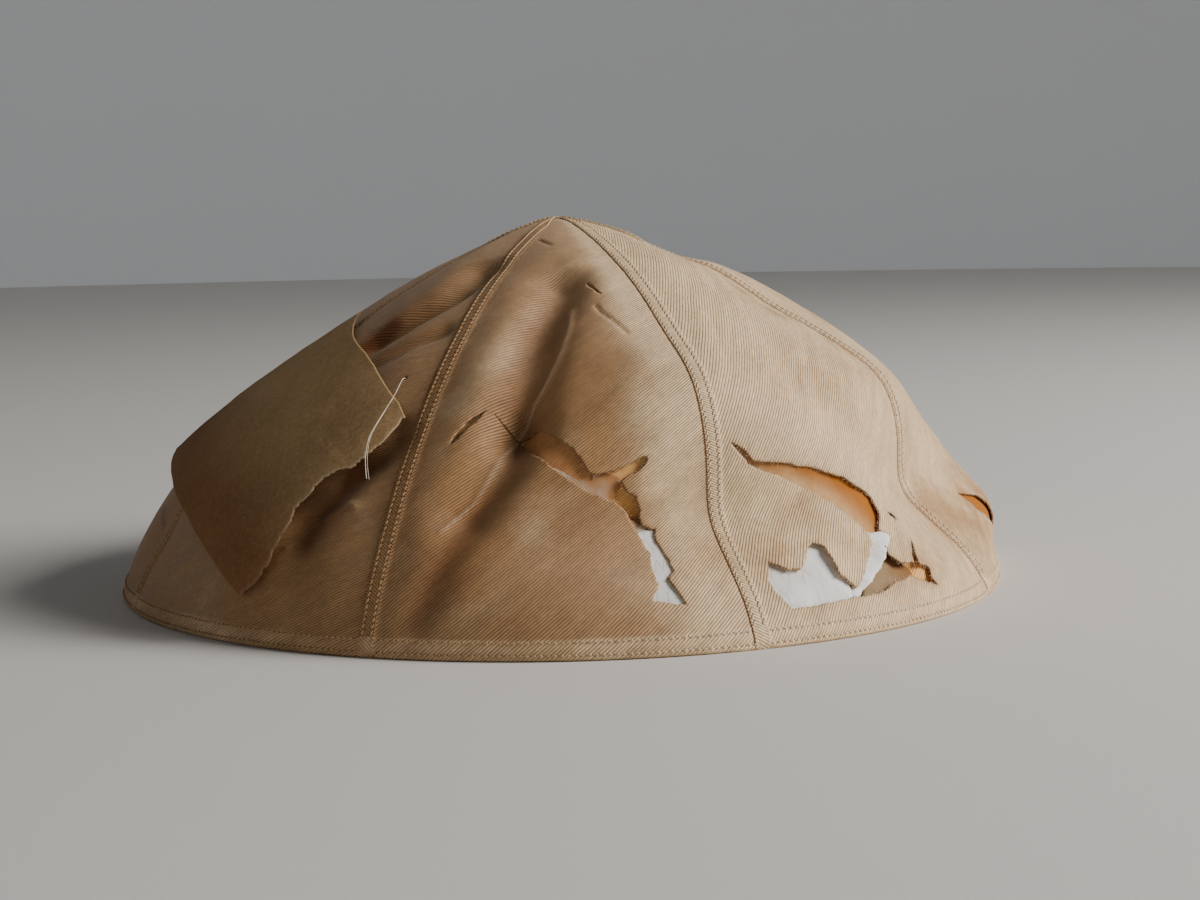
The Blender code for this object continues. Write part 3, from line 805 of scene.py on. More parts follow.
def gore_border(pattern, step):
    """The gore's flat outline, with its underlap on the right."""
    half = GORE_TURN / 2
    tip = 1.0 - 0.35 * MM / pattern.length
    rises = np.linspace(0.0, tip, int(pattern.length / step))
    left = pattern.flat(pattern.middle - half, rises)
    right_edge = pattern.flat(pattern.middle + half, rises)
    right_edge[:, 0] += np.minimum(UNDERLAP, 0.35 * right_edge[:, 0])
    foot_count = int((right_edge[0, 0] - left[0, 0]) / step)
    foot_x = np.linspace(left[0, 0], right_edge[0, 0], foot_count + 1)
    foot = np.stack([foot_x, np.zeros(foot_count + 1)], -1)
    return np.concatenate([foot[:-1], right_edge[:-1], right_edge[-1:], left[:0:-1]])


SEAM_COLUMNS = (0.12, 0.30, 0.60, 0.95, 1.50, 2.05, 2.40, 2.72, 2.95, 3.20)


def seam_columns(pattern, step):
    """Flat points in columns beside the left seam, so that its fold and stitches are even."""
    rises = np.arange(1.0 * MM, 0.97 * pattern.length, step) / pattern.length
    left = pattern.flat(pattern.middle - GORE_TURN / 2, rises)
    columns = []
    for offset in SEAM_COLUMNS:
        wide = offset * MM < -0.9 * left[:, 0]
        columns.append(left[wide] + (offset * MM, 0.0))
    return np.concatenate(columns)


def wrinkle(points):
    """Small uneven waves of slack cloth, in metres."""
    values = [
        0.22 * noise.noise(Vector(p) * 75.0) + 0.07 * noise.noise(Vector(p) * 260.0)
        for p in points.tolist()
    ]
    return np.array(values) * MM


def build_gore(index, row):
    middle = index * GORE_TURN
    pattern = Pattern(middle)
    step = row.step * MM
    holes = []
    for number, (tear_middle, outline) in enumerate(TEARS.values()):
        if tear_middle == middle:
            turns, rises = np.array(outline).T
            holes.append(ragged(pattern.flat(turns, rises), TORN_STEP, TORN_ROUGHNESS, number))
            torn_outlines.append((pattern, holes[-1]))
    foot_rows = np.array([0.15, 0.35, 0.65]) * MM
    rows = np.concatenate([foot_rows, np.arange(1.05 * MM, pattern.length, step)])

    def beside_seam(found):
        seam = pattern.flat(middle - GORE_TURN / 2, found[:, 1] / pattern.length)
        return found[:, 0] - seam[:, 0] < (SEAM_COLUMNS[-1] + 0.2) * MM

    border = gore_border(pattern, step)
    flats, faces = cut_cloth(border, holes, step, rows, seam_columns(pattern, step), beside_seam)
    turn, rise = pattern.place(flats)
    rise = np.clip(rise, 0.0, 1.0)
    seam_x = pattern.flat(middle - GORE_TURN / 2, rise)[:, 0]
    from_left = flats[:, 0] - seam_x
    past_right = flats[:, 0] + seam_x
    up_cloth = flats[:, 1]
    edge = np.full(len(flats), FAR_FROM_EDGE)
    for hole in holes:
        edge = np.minimum(edge, np.abs(outline_distance(flats, hole)) / MM)
    strip = np.minimum(STRIP_WIDTH, 0.45 * np.abs(seam_x))
    on_strip = 1.0 - smooth_step((from_left - strip) / (0.45 * MM) + 0.5)
    fold_edge = np.clip(from_left / FOLD_ROUND, 0.0, 1.0)
    height = on_strip * STRIP_RAISE * np.sqrt(1.0 - (1.0 - fold_edge) ** 2)
    height -= UNDERLAP_SINK * smooth_step((past_right + 0.1 * MM) / (0.2 * MM))
    for stitch_line in STRIP_STITCHES:
        height -= STITCH_DENT * bell((from_left - stitch_line) / STITCH_DENT_REACH) * on_strip
    hem = 1.0 - smooth_step((up_cloth - HEM_HEIGHT) / (0.5 * MM))
    height += hem * HEM_RAISE
    for stitch_line in HEM_STITCHES:
        height -= HEM_STITCH_DENT * bell((up_cloth - stitch_line) / HEM_STITCH_DENT_REACH)
    drop = np.clip(1.0 - up_cloth / HEM_ROUND, 0.0, 1.0)
    height -= HEM_ROUND * (1.0 - np.sqrt(1.0 - drop**2))
    points = cap_point(turn, rise)
    normals = cap_normal(turn, rise)
    slack = (1.0 - hem) * smooth_step(up_cloth / SLACK_ABOVE_HEM)
    height += (wrinkle(points) + tear_lift(turn, rise, edge)) * slack
    at_foot = up_cloth < 1e-7
    normals[at_foot, 2] = 0.0
    thickness = SILK_THICKNESS + hem * (HEM_DEPTH - SILK_THICKNESS)
    outer = points + normals * height[:, None]
    inner = outer - normals * thickness[:, None]
    outer[:, 2] = np.maximum(outer[:, 2], 0.0)
    inner[:, 2] = np.maximum(inner[:, 2], 0.0)
    crease_highlight = line_distance(turn, rise, PULLED_THREAD, *profile_size(turn, rise))
    corners = rolled(flats[faces], row.rib_degrees)
    strip_faces = (from_left[faces] < strip[faces] + 0.1 * MM).all(axis=1)
    corners[strip_faces] = rolled(flats[faces[strip_faces]], row.rib_degrees + STRIP_RIB_TURN)
    attributes = {
        "edge": edge,
        "seam": np.minimum(np.abs(from_left), np.abs(past_right)) / MM,
        # Stains, some of them painted shade in hollows
        "stain": spread(turn, rise, STAINS_AND_SHADE),
        # Painted highlight along the pulled thread's crease
        "crease_highlight": bell(crease_highlight / CREASE_REACH),
        # Painted shade in hollows and soft patches
        "painted_shade": np.clip(marks(turn, rise, HOLLOW_SHADE_LINES) + spread(turn, rise, SHADE_PATCHES), 0.0, 0.9),
        # Tan with painted shade, lightened on ridges as painted highlight
        "tan": tan_and_shade_at(turn) * (1.0 - 0.45 * hem) - marks(turn, rise, RIDGE_HIGHLIGHTS),
    }
    skins = (silk, silk_inside, silk_edge)
    piece = build_wall(row.name + "_silk", outer, inner, faces, skins, corners, attributes)
    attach(piece, BODY)
    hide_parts(row.name)
    return piece


gores = [build_gore(index, row) for index, row in enumerate(GORES)]
for gore in gores:
    print(gore.name, len(gore.data.polygons), "faces")

# %% [markdown]
# ## Leather band
# A strip of thin white leather lines the rim. It has dried: fine cracks run up it, its top edge
# waves, and it has broken through on the right, where one end stands free.

# %% Leather material
def leather_material():
    material, tree, shader = blank_material("band_leather", 0.62, 0.3)
    places = object_places(tree)
    weave = node(tree, "ShaderNodeUVMap", {"uv_map": "weave"}).outputs[0]
    tall = node(tree, "ShaderNodeVectorMath", {"operation": "MULTIPLY"}, i0=weave, i1=(520.0, 190.0, 1.0))
    cracks = node(
        tree, "ShaderNodeTexVoronoi", {"feature": "DISTANCE_TO_EDGE"}, Vector=tall.outputs[0], Scale=1.0
    ).outputs["Distance"]
    blotch = noise_at(tree, places, 120.0, 4.0)
    colour = mix(tree, fade(tree, blotch, 0.35, 0.7), (0.88, 0.87, 0.85), (0.76, 0.73, 0.68))
    crack = times(tree, fade(tree, cracks, 0.035, 0.0), fade(tree, blotch, 0.42, 0.58))
    colour = mix(tree, times(tree, crack, 0.60), colour, (0.42, 0.35, 0.27))
    relief = plus(tree, fade(tree, cracks, 0.0, 0.05), 0.5, blotch)
    link_surface(tree, shader, colour, relief, 0.35, 0.12 * MM)
    return material


leather = leather_material()

# %% Leather band mesh
BandRow = namedtuple("BandRow", "turn top_rise")
BAND_TOP = table(
    BandRow,
    (-180, 0.21), (-60, 0.2), (0, 0.175), (14, 0.185), (24, 0.215), (31, 0.235), (35, 0.22),
    (38.6, 0.2), (42, 0.172), (44.3, 0.145), (48.5, 0.137), (60, 0.19), (180, 0.21),
)
BAND_FAR_END = 56.0
BAND_TORN_END = ((0, 36), (0.054, 37.7), (0.098, 44.6), (0.135, 47.9))
BAND_DEPTH = 0.42 * MM
BAND_DEPTH_AT_HEM = 1.95 * MM
BAND_SINK = 2.4 * MM
BAND_SINK_AT_SIDE = 1.6 * MM
BAND_THICKNESS = 0.8 * MM
BAND_LOW = 1.0 * MM


def grid_places(upward, across):
    """Every pair of the two, row by row."""
    return [values.ravel() for values in np.meshgrid(upward, across, indexing="ij")]


def grid_triangles(rows, columns):
    """Two triangles for each square of a grid, counted row by row."""
    corner = (np.arange(rows - 1)[:, None] * columns + np.arange(columns - 1)).ravel()
    first = np.stack([corner, corner + 1, corner + columns + 1], -1)
    second = np.stack([corner, corner + columns + 1, corner + columns], -1)
    return np.concatenate([first, second])


def build_band(columns, rows):
    up_share, along = grid_places(np.linspace(0, 1, rows), np.linspace(0, 1, columns))
    low = BAND_LOW / PEAK_HEIGHT * 0.6
    end_rise = low + (BAND_TORN_END[-1][0] - low) * up_share
    frayed = [0.35 * noise.noise(Vector((u * 14.0, 9.0, 0.0))) for u in up_share]
    end = np.interp(end_rise, *np.array(BAND_TORN_END).T) + frayed
    start = BAND_FAR_END - 360.0
    turn = start + (end - start) * along
    top = np.interp(wrapped(turn), *zip(*BAND_TOP))
    waves = [
        noise.noise(Vector((t * 0.35, 3.0, 0.0))) + 0.5 * noise.noise(Vector((t * 1.3, 5.0, 0.0)))
        for t in turn
    ]
    rise = low + (top + 0.006 * np.array(waves) * (up_share > 0.99) - low) * up_share
    points = cap_point(turn, rise)
    normals = cap_normal(turn, rise, ())
    ripple = [
        0.16 * noise.noise(Vector((t * 0.9, r * 9.0, 1.0)))
        + 0.08 * noise.noise(Vector((t * 3.0, r * 20.0, 2.0)))
        for t, r in zip(turn, rise)
    ]
    at_hem = 1.0 - smooth_step((rise - 0.030) / 0.018)
    depth = BAND_DEPTH + (BAND_DEPTH_AT_HEM - BAND_DEPTH) * at_hem + np.abs(ripple) * MM
    depth += BAND_SINK * smooth_step((rise - 0.125) / 0.07) * bell(wrapped(turn - 38.0) / 9.0)
    depth += BAND_SINK_AT_SIDE * bell(wrapped(turn - 86.0) / 7.0) * (1.0 - at_hem)
    slack = wrinkle(points) * smooth_step(rise * profile_length(turn) / SLACK_ABOVE_HEM)
    outer = points + normals * (slack - depth)[:, None]
    inner = outer - normals * BAND_THICKNESS
    faces = grid_triangles(rows, columns)
    flats = np.stack([np.radians(turn) * RIM_RADIUS, rise * profile_length(turn)], -1)
    piece = build_wall("leather_band_crackled", outer, inner, faces, (leather,), flats[faces], {})
    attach(piece, BODY)
    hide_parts("leather_band")
    return piece


band = build_band(720, 26)
print(band.name, len(band.data.polygons), "faces")

# %% [markdown]
# ## Lining
# Behind the silk lies a lining of coarser ribbed cloth, once cream and now orange-brown where it
# shows through the tears; its orange is painted brighter as a painted glow of light through the thin
# silk, and it is painted darker behind the front slits as painted shade. It is one sheet over the
# whole cap, drawn in a little behind the band and slack behind the hanging flap, so that no tear
# looks into an empty cap.

# %% Build the lining
LINING_DEPTH = 1.15 * MM
LINING_DEPTH_AT_BAND = 3.3 * MM
LINING_SAG = DentRow(40, 14, 0.20, 0.10, 1.4 * MM)
LINING_LOW_BY = 0.055
LINING_FOOT = 0.012
SCRAP_RIB_DEGREES = 35.0


def build_lining(columns, rows):
    rise, turn = grid_places(np.linspace(LINING_FOOT, 0.994, rows), np.linspace(-180, 180, columns))
    points = cap_point(turn, rise)
    normals = cap_normal(turn, rise, ())
    turning_in = 0.19 - LINING_LOW_BY * bell(wrapped(turn - 42.0) / 10.0)
    behind_band = 1.0 - smooth_step((rise - turning_in) / 0.04)
    depth = LINING_DEPTH + (LINING_DEPTH_AT_BAND - LINING_DEPTH) * behind_band
    depth += LINING_SAG.depth * patch(turn, rise, LINING_SAG)
    outer = points - normals * (depth + np.abs(wrinkle(points)))[:, None]
    inner = outer - normals * SILK_THICKNESS
    faces = grid_triangles(rows, columns)
    seam_column = np.arange(rows) * columns
    renumber = np.arange(len(turn))
    renumber[seam_column + columns - 1] = seam_column
    across = np.radians(turn) * RIM_RADIUS * (1.0 - 0.5 * rise)
    flats = np.stack([across, rise * profile_length(turn)], -1)
    faces_joined = renumber[faces]
    used = np.unique(faces_joined)
    compact = np.full(len(turn), -1)
    compact[used] = np.arange(len(used))
    far = np.full(len(used), FAR_FROM_EDGE)
    # The lining is painted darker behind the front slits, as painted shade inside the cap
    attributes = {"edge": far, "seam": far, "painted_shade": 0.45 * bell(wrapped(turn[used] + 12.0) / 14.0)}
    corners = rolled(flats[faces], SCRAP_RIB_DEGREES)
    joined = compact[faces_joined]
    piece = build_wall("inner_lining", outer[used], inner[used], joined, (silk_inside,), corners, attributes)
    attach(piece, BODY)
    return piece


lining = build_lining(361, 80)
print(lining.name, len(lining.data.polygons), "faces")

# %% [markdown]
# ## Scraps behind the tears
# Under the front tear a tongue of the silk's inner layer has sunk in, and a web of fuzzy pale
# interlining bridges the gap. A strip of worn lining follows the hanging flap, browned and painted
# darker towards its upper edge as painted shade under the silk's edge, and the leather's rough back
# bulges out beside it, painted darker where it lies deeper as painted shade. Each is cut and draped
# as the gores are, from places with a depth.

# %% Scraps
def plain_cloth(name, light, dark, scale, stain, fringe=None):
    material, tree, shader = blank_material(name, 0.85, 0.15)
    places = object_places(tree)
    cloud = noise_at(tree, places, scale, 6.0, 0.7)
    colour = mix(tree, fade(tree, cloud, 0.3, 0.7), light, dark)
    colour = mix(tree, attribute(tree, "stain"), colour, stain)
    if fringe:
        frayed = fade(tree, plus(tree, cloud, 1.6, attribute(tree, "edge")), 2.8, 1.2)
        bright = times(tree, frayed, fade(tree, attribute(tree, "stain"), 0.35, 0.0))
        colour = mix(tree, bright, colour, fringe)
    link_surface(tree, shader, colour, cloud, 0.5, 0.3 * MM)
    return material


tongue_silk = silk_material(
    "tongue_silk", (0.660, 0.340, 0.145), (0.480, 0.225, 0.085), 0.1, False, FAINT_GROOVE
)
FUZZ = (0.66, 0.58, 0.46)
interlining = plain_cloth(
    "interlining", (0.52, 0.40, 0.29), (0.38, 0.27, 0.18), 620.0, (0.42, 0.20, 0.08), FUZZ
)
worn_lining = plain_cloth(
    "worn_lining", (0.72, 0.49, 0.26), (0.62, 0.38, 0.17), 420.0, (0.38, 0.125, 0.016)
)
suede = plain_cloth("suede", (0.34, 0.235, 0.130), (0.26, 0.175, 0.090), 340.0, (0.22, 0.09, 0.025))

ScrapRow = namedtuple("ScrapRow", "name middle bulge material slot stain_depths outline")
SCRAPS = (
    ScrapRow("inner_tongue_front", 0, 0.1, tongue_silk, "silk", (9, 9.5), (
        (-7, 0.361, 0.5), (-4, 0.388, 0.5), (0, 0.366, 0.7), (3, 0.336, 0.8), (5.8, 0.302, 0.9),
        (6, 0.275, 0.9), (4.6, 0.26, 0.9), (3, 0.268, 0.85), (1.2, 0.284, 0.8), (-0.8, 0.3, 0.75),
        (-2.9, 0.322, 0.7), (-5.6, 0.356, 0.5),
    )),
    ScrapRow("interlining_web_front", 0, 0.1, interlining, "silk", (0.5, 0.78), (
        (-1.5, 0.302, 0.55), (1.2, 0.289, 0.6), (3.4, 0.274, 0.65), (5.3, 0.272, 0.8),
        (5.6, 0.29, 0.85), (6.4, 0.297, 0.8), (7.6, 0.284, 0.85), (9.4, 0.278, 0.85),
        (9.6, 0.262, 0.85), (8.4, 0.244, 0.85), (8.6, 0.222, 0.85), (10.4, 0.206, 0.75),
        (12.8, 0.192, 0.6), (12.4, 0.17, 0.5), (9.2, 0.204, 0.46), (6.5, 0.23, 0.46), (3.2, 0.25, 0.46),
        (0.6, 0.272, 0.46), (-1.5, 0.292, 0.46),
    )),
    ScrapRow("worn_strip_right", 45, 0, worn_lining, "silk", (1.12, 0.68), (
        (26.8, 0.318, 0.9), (29.5, 0.302, 0.9), (32.8, 0.292, 0.65), (38.8, 0.277, 0.55),
        (45, 0.248, 0.5), (49.5, 0.212, 0.5), (50.2, 0.172, 0.55), (48.6, 0.148, 0.7), (46, 0.134, 0.9),
        (43.2, 0.13, 1.1), (42, 0.165, 1.1), (39.4, 0.192, 1.15), (35.5, 0.228, 1.15),
        (31, 0.255, 1.05), (28.2, 0.278, 0.95),
    )),
    ScrapRow("leather_torn_end", 45, 0, leather, "leather", (9, 9.5), (
        (48.2, 0.137, 0), (47.8, 0.128, -0.2), (44.6, 0.098, -0.3), (40.5, 0.07, -0.2),
        (37.9, 0.053, 0.2), (36.4, 0.056, 0.9), (38, 0.072, 0.8), (40.6, 0.098, 0.8),
        (43.2, 0.134, 0.8), (44.6, 0.142, 0.6),
    )),
    ScrapRow("leather_roll_right", 45, 0.5, suede, "leather", (0.9, 2.2), (
        (38.5, 0.046, 1.3), (45, 0.046, 1.7), (50.5, 0.052, 2.1), (52, 0.075, 2.5), (51.5, 0.096, 2.8),
        (49, 0.122, 2.9), (46.5, 0.127, 2.3), (43, 0.098, 1.3), (40, 0.068, 1.1),
    )),
    ScrapRow("inner_lobe_right", 45, 0.8, silk_inside, "silk", (9, 9.5), (
        (50.6, 0.112, 2.2), (53.5, 0.11, 1.5), (55.5, 0.08, 1.3), (55, 0.042, 1.3), (51.8, 0.046, 1.6),
        (50.2, 0.06, 2.2), (50, 0.08, 2.6),
    )),
    ScrapRow("inner_silk_side", 90, 0, worn_lining, "silk", (0, 0.3), (
        (78, 0.165, 0.62), (86, 0.155, 0.62), (94, 0.12, 0.62), (96, 0.055, 0.62), (84, 0.06, 0.62),
        (79, 0.108, 0.62),
    )),
)


def depth_between(flats, anchors, depths):
    """Depths inside a scrap, from those at its outline, weighed by nearness."""
    apart = np.hypot(flats[:, None, 0] - anchors[None, :, 0], flats[:, None, 1] - anchors[None, :, 1])
    weights = 1.0 / (apart / MM + 0.2) ** 2
    return (weights * depths[None, :]).sum(axis=1) / weights.sum(axis=1)


def build_scrap(number, row):
    pattern = Pattern(row.middle)
    turns, rises, depths = np.array(row.outline).T
    anchors = pattern.flat(turns, rises)
    border = ragged(anchors, TORN_STEP, TORN_ROUGHNESS * 1.2, 20 + number)
    flats, faces = cut_cloth(border, [], 0.45 * MM)
    turn, rise = pattern.place(flats)
    edge = np.abs(outline_distance(flats, border)) / MM
    crown = 1.0 - (1.0 - np.clip(edge / 3.0, 0.0, 1.0)) ** 2
    depth = depth_between(flats, anchors, depths) - row.bulge * crown
    points = cap_point(turn, rise)
    normals = cap_normal(turn, rise, ())
    outer = points + normals * (wrinkle(points) * 1.2 - depth * MM)[:, None]
    inner = outer - normals * SILK_THICKNESS
    clean, fully_stained_and_shaded = row.stain_depths
    attributes = {
        "edge": edge + 0.6,
        "seam": np.full(len(flats), FAR_FROM_EDGE),
        # Stained between the scrap's two listed depths: real browning, and painted shade under the silk's
        # edges or where the scrap lies deeper
        "stain": smooth_step((depth - clean) / (fully_stained_and_shaded - clean)),
    }
    corners = rolled(flats[faces], SCRAP_RIB_DEGREES)
    piece = build_wall(row.name, outer, inner, faces, (row.material,), corners, attributes)
    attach(piece, BODY)
    return piece


scraps = [build_scrap(number, row) for number, row in enumerate(SCRAPS)]
print([(scrap.name, len(scrap.data.polygons)) for scrap in scraps])

# %% [markdown]
# ## Paper label
# A piece of brown paper is caught down on the left-front gore. Three edges are cut and one is
# torn, so that one is uneven and shows pale fibres. It keeps a bend of its own and stands clear
# of the silk at its lower left corner.

# %% Paper material
def paper_material():
    material, tree, shader = blank_material("label_paper", 0.88, 0.2)
    places = object_places(tree)
    fibre = noise_at(tree, places, 1100.0, 4.0, 0.65)
    blotch = noise_at(tree, places, 60.0, 4.0)
    colour = mix(tree, fade(tree, blotch, 0.3, 0.7), (0.440, 0.280, 0.130), (0.350, 0.220, 0.100))
    colour = mix(tree, times(tree, fade(tree, fibre, 0.48, 0.70), 0.40), colour, (0.56, 0.39, 0.21))
    colour = mix(tree, times(tree, fade(tree, fibre, 0.46, 0.30), 0.45), colour, (0.24, 0.145, 0.065))
    torn = plus(tree, maths(tree, "SUBTRACT", fibre, 0.5), 1.6, attribute(tree, "edge"))
    colour = mix(tree, times(tree, fade(tree, torn, 0.75, 0.25), 0.7), colour, (0.52, 0.38, 0.23))
    colour = mix(tree, attribute(tree, "shade"), colour, (0.66, 0.50, 0.42), "MULTIPLY")
    link_surface(tree, shader, colour, fibre, 0.6, 0.25 * MM)
    return material


paper = paper_material()
EDGE_BROWN = (0.25, 0.165, 0.090)
paper_edge = plain_cloth("paper_edge", EDGE_BROWN, (0.17, 0.105, 0.055), 900.0, EDGE_BROWN)

# %% Paper label mesh
LABEL_TOP = (
    (-66, 0.62), (-51.3, 0.551), (-40.9, 0.508), (-36, 0.48), (-31.8, 0.449), (-29.2, 0.428),
    (-25.9, 0.403), (-23.7, 0.376),
)
LABEL_TORN = (
    (-23.7, 0.376), (-24.8, 0.342), (-25.6, 0.322), (-26.5, 0.309), (-27.6, 0.29), (-28.5, 0.276),
    (-30.4, 0.273), (-32.5, 0.252), (-33.1, 0.234), (-33.9, 0.219), (-34.7, 0.199), (-34.6, 0.186),
    (-35.2, 0.166), (-35.7, 0.15), (-36.1, 0.141), (-36, 0.129), (-36.5, 0.11), (-37.7, 0.091),
    (-39.6, 0.068),
)
LABEL_LOWER = ((-39.6, 0.068), (-47.2, 0.114), (-59.6, 0.178), (-70, 0.215), (-84, 0.25))
LABEL_BACK = ((-84, 0.25), (-80, 0.39), (-73, 0.5), (-66, 0.62))
LABEL_LIFT = 0.9 * MM
LABEL_EDGE_LIFT = 1.6 * MM
LABEL_CORNER_LIFT = 3.0 * MM
PAPER_THICKNESS = 0.20 * MM


def along_line(line, share):
    turns, rises = np.array(line).T
    across = np.radians(np.diff(turns)) * RIM_RADIUS
    upward = np.diff(rises) * (RIM_RADIUS + PEAK_HEIGHT)
    steps = np.concatenate([[0.0], np.hypot(across, upward).cumsum()])
    wanted = share * steps[-1]
    return np.stack([np.interp(wanted, steps, turns), np.interp(wanted, steps, rises)], -1)


def label_place(across, down):
    """Places inside the label's four edges, as a patch blended from them."""
    across_, down_ = across[:, None], down[:, None]
    corners = (
        np.array(LABEL_TOP[0]) * (1 - across_) * (1 - down_)
        + np.array(LABEL_TOP[-1]) * across_ * (1 - down_)
        + np.array(LABEL_LOWER[0]) * across_ * down_
        + np.array(LABEL_LOWER[-1]) * (1 - across_) * down_
    )
    top = along_line(LABEL_TOP, across)
    lower = along_line(LABEL_LOWER, 1 - across)
    back = along_line(LABEL_BACK, 1 - down)
    torn = along_line(LABEL_TORN, down)
    return top * (1 - down_) + lower * down_ + back * (1 - across_) + torn * across_ - corners


def build_label(columns, rows):
    up_share, across = grid_places(np.linspace(0, 1, rows), np.linspace(0, 1, columns))
    down = 1.0 - up_share
    torn_by = np.array([
        0.012 * noise.noise(Vector((d * 18.0, 0.0, 7.0)))
        + 0.010 * noise.noise(Vector((d * 60.0, 0.0, 8.0)))
        + 0.009 * noise.noise(Vector((d * 170.0, 0.0, 9.0)))
        for d in down
    ])
    place = label_place(across * (1.0 + torn_by * smooth_step((across - 0.9) / 0.1)), down)
    turn, rise = place.T
    points = cap_point(turn, rise, ())
    normals = cap_normal(turn, rise, ())
    lift = LABEL_LIFT + LABEL_EDGE_LIFT * smooth_step((across - 0.7) / 0.3) * np.sin(math.pi * down)
    lift += LABEL_CORNER_LIFT * (1 - across) ** 2 * down**2
    inner = points + normals * (lift + 1.2 * np.abs(wrinkle(points)))[:, None]
    outer = inner + normals * PAPER_THICKNESS
    faces = grid_triangles(rows, columns)
    flats = np.stack([across, up_share], -1) * 0.05
    attributes = {"edge": (1.0 - across) * 50.0, "shade": smooth_step((down - 0.45) / 0.45)}
    skins = (paper, paper, paper_edge)
    piece = build_wall("paper_label_torn", outer, inner, faces, skins, flats[faces], attributes)
    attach(piece, BODY)
    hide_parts("paper_label")
    return piece


label = build_label(120, 130)
print(label.name, len(label.data.polygons), "faces")

# %% [markdown]
# ## Stitches
# A stitch is the same small thing hundreds of times over, so Geometry Nodes make them: a row is
# a curve with the cloth's normal stored on it, resampled to one point for each stitch, with a
# thread and its needle hole set on each point.

# %% Thread materials
def thread_material(name, colour, dark, shade_tint=(0.66, 0.50, 0.34)):
    material, tree, shader = blank_material(name, 0.6, 0.3)
    places = object_places(tree)
    cloud = noise_at(tree, places, 500.0, 2.0)
    colour = mix(tree, fade(tree, cloud, 0.3, 0.7), colour, dark)
    # Thread on the cap's left half is painted darker, as painted shade on the side away from the light
    side = fade(tree, node(tree, "ShaderNodeSeparateXYZ", Vector=places).outputs[0], 0.035, -0.02)
    in_shade = mix(tree, 1.0, colour, shade_tint, "MULTIPLY")
    tree.links.new(mix(tree, side, colour, in_shade), shader.inputs["Base Color"])
    return material


thread = thread_material("thread", (0.80, 0.67, 0.49), (0.66, 0.51, 0.33))
# Needle holes are small dark pits of painted shade
needle_hole_shade = thread_material("needle_hole_shade", (0.200, 0.110, 0.055), (0.120, 0.060, 0.028))
white_thread = thread_material("white_thread", (0.92, 0.88, 0.80), (0.74, 0.66, 0.54), (0.9, 0.85, 0.78))


# %% Parts that both trees share
def guided_tree(name, *inputs):
    """A tree that spaces points along a guide mesh; each input has a name, a kind and a default."""
    tree = bpy.data.node_groups.new(name, "GeometryNodeTree")
    for label, kind, default in (("Geometry", "Geometry", None), *inputs):
        socket = tree.interface.new_socket(label, in_out="INPUT", socket_type="NodeSocket" + kind)
        if default is not None:
            socket.default_value = default
    tree.interface.new_socket("Geometry", in_out="OUTPUT", socket_type="NodeSocketGeometry")
    ins = node(tree, "NodeGroupInput").outputs
    as_curve = node(tree, "GeometryNodeMeshToCurve", Mesh=ins["Geometry"]).outputs[0]
    spaced = node(
        tree, "GeometryNodeResampleCurve", {"mode": "LENGTH"}, Curve=as_curve, Length=ins["Spacing"]
    ).outputs[0]
    return tree, ins, spaced


def stored_vector(tree, name):
    return node(
        tree, "GeometryNodeInputNamedAttribute", {"data_type": "FLOAT_VECTOR"}, Name=name
    ).outputs[0]


def turned_to(tree, ahead, angles):
    """Z out of the cloth and X ahead, then turned by the angles."""
    facing = node(
        tree, "FunctionNodeAxesToRotation", {"primary_axis": "Z", "secondary_axis": "X"},
        i0=stored_vector(tree, "cloth_normal"), i1=ahead,
    ).outputs[0]
    return node(
        tree, "FunctionNodeRotateRotation", {"rotation_space": "LOCAL"}, Rotation=facing,
        Rotate_By=node(tree, "FunctionNodeEulerToRotation", Euler=angles).outputs[0],
    ).outputs[0]


def set_on(tree, points, instance, **placing):
    """One instance on each point, made real."""
    placed = node(
        tree, "GeometryNodeInstanceOnPoints", Points=points, Instance=instance, **placing
    ).outputs[0]
    return node(tree, "GeometryNodeRealizeInstances", Geometry=placed).outputs[0]


# %% Stitch tree
def stitch_tree():
    """Stitches along a curve whose points carry the normal of the cloth."""
    tree, ins, spaced = guided_tree(
        "stitches", ("Spacing", "Float", 1.2 * MM), ("Length", "Float", 0.9 * MM),
        ("Width", "Float", 0.3 * MM), ("Slant", "Float", 0.5), ("Seed", "Int", 1),
    )
    wobble = node(
        tree, "FunctionNodeRandomValue", {"data_type": "FLOAT"}, i2=-0.12, i3=0.12, Seed=ins["Seed"]
    ).outputs[1]
    slant = combine(tree, Z=maths(tree, "ADD", ins["Slant"], wobble))
    tangent = node(tree, "GeometryNodeInputTangent").outputs[0]
    ball = node(tree, "GeometryNodeMeshIcoSphere", Radius=0.5, Subdivisions=1).outputs[0]
    shape = combine(tree, X=ins["Length"], Y=ins["Width"], Z=ins["Width"])
    loop = node(tree, "GeometryNodeTransform", Geometry=ball, Scale=shape).outputs[0]
    loop = node(tree, "GeometryNodeSetMaterial", Geometry=loop, Material=thread).outputs[0]
    # The pit is a dark blob of painted shade where the needle hole is
    pit_place = combine(tree, X=times(tree, ins["Length"], 0.52))
    pit_width = times(tree, ins["Width"], 0.75)
    pit_size = combine(tree, X=pit_width, Y=pit_width, Z=0.12 * MM)
    pit = node(tree, "GeometryNodeTransform", Geometry=ball, Translation=pit_place, Scale=pit_size)
    pit = node(tree, "GeometryNodeSetMaterial", Geometry=pit.outputs[0], Material=needle_hole_shade).outputs[0]
    both = node(tree, "GeometryNodeJoinGeometry")
    tree.links.new(loop, both.inputs[0])
    tree.links.new(pit, both.inputs[0])
    real = set_on(tree, spaced, both.outputs[0], Rotation=turned_to(tree, tangent, slant))
    tree.links.new(real, node(tree, "NodeGroupOutput").inputs[0])
    return tree


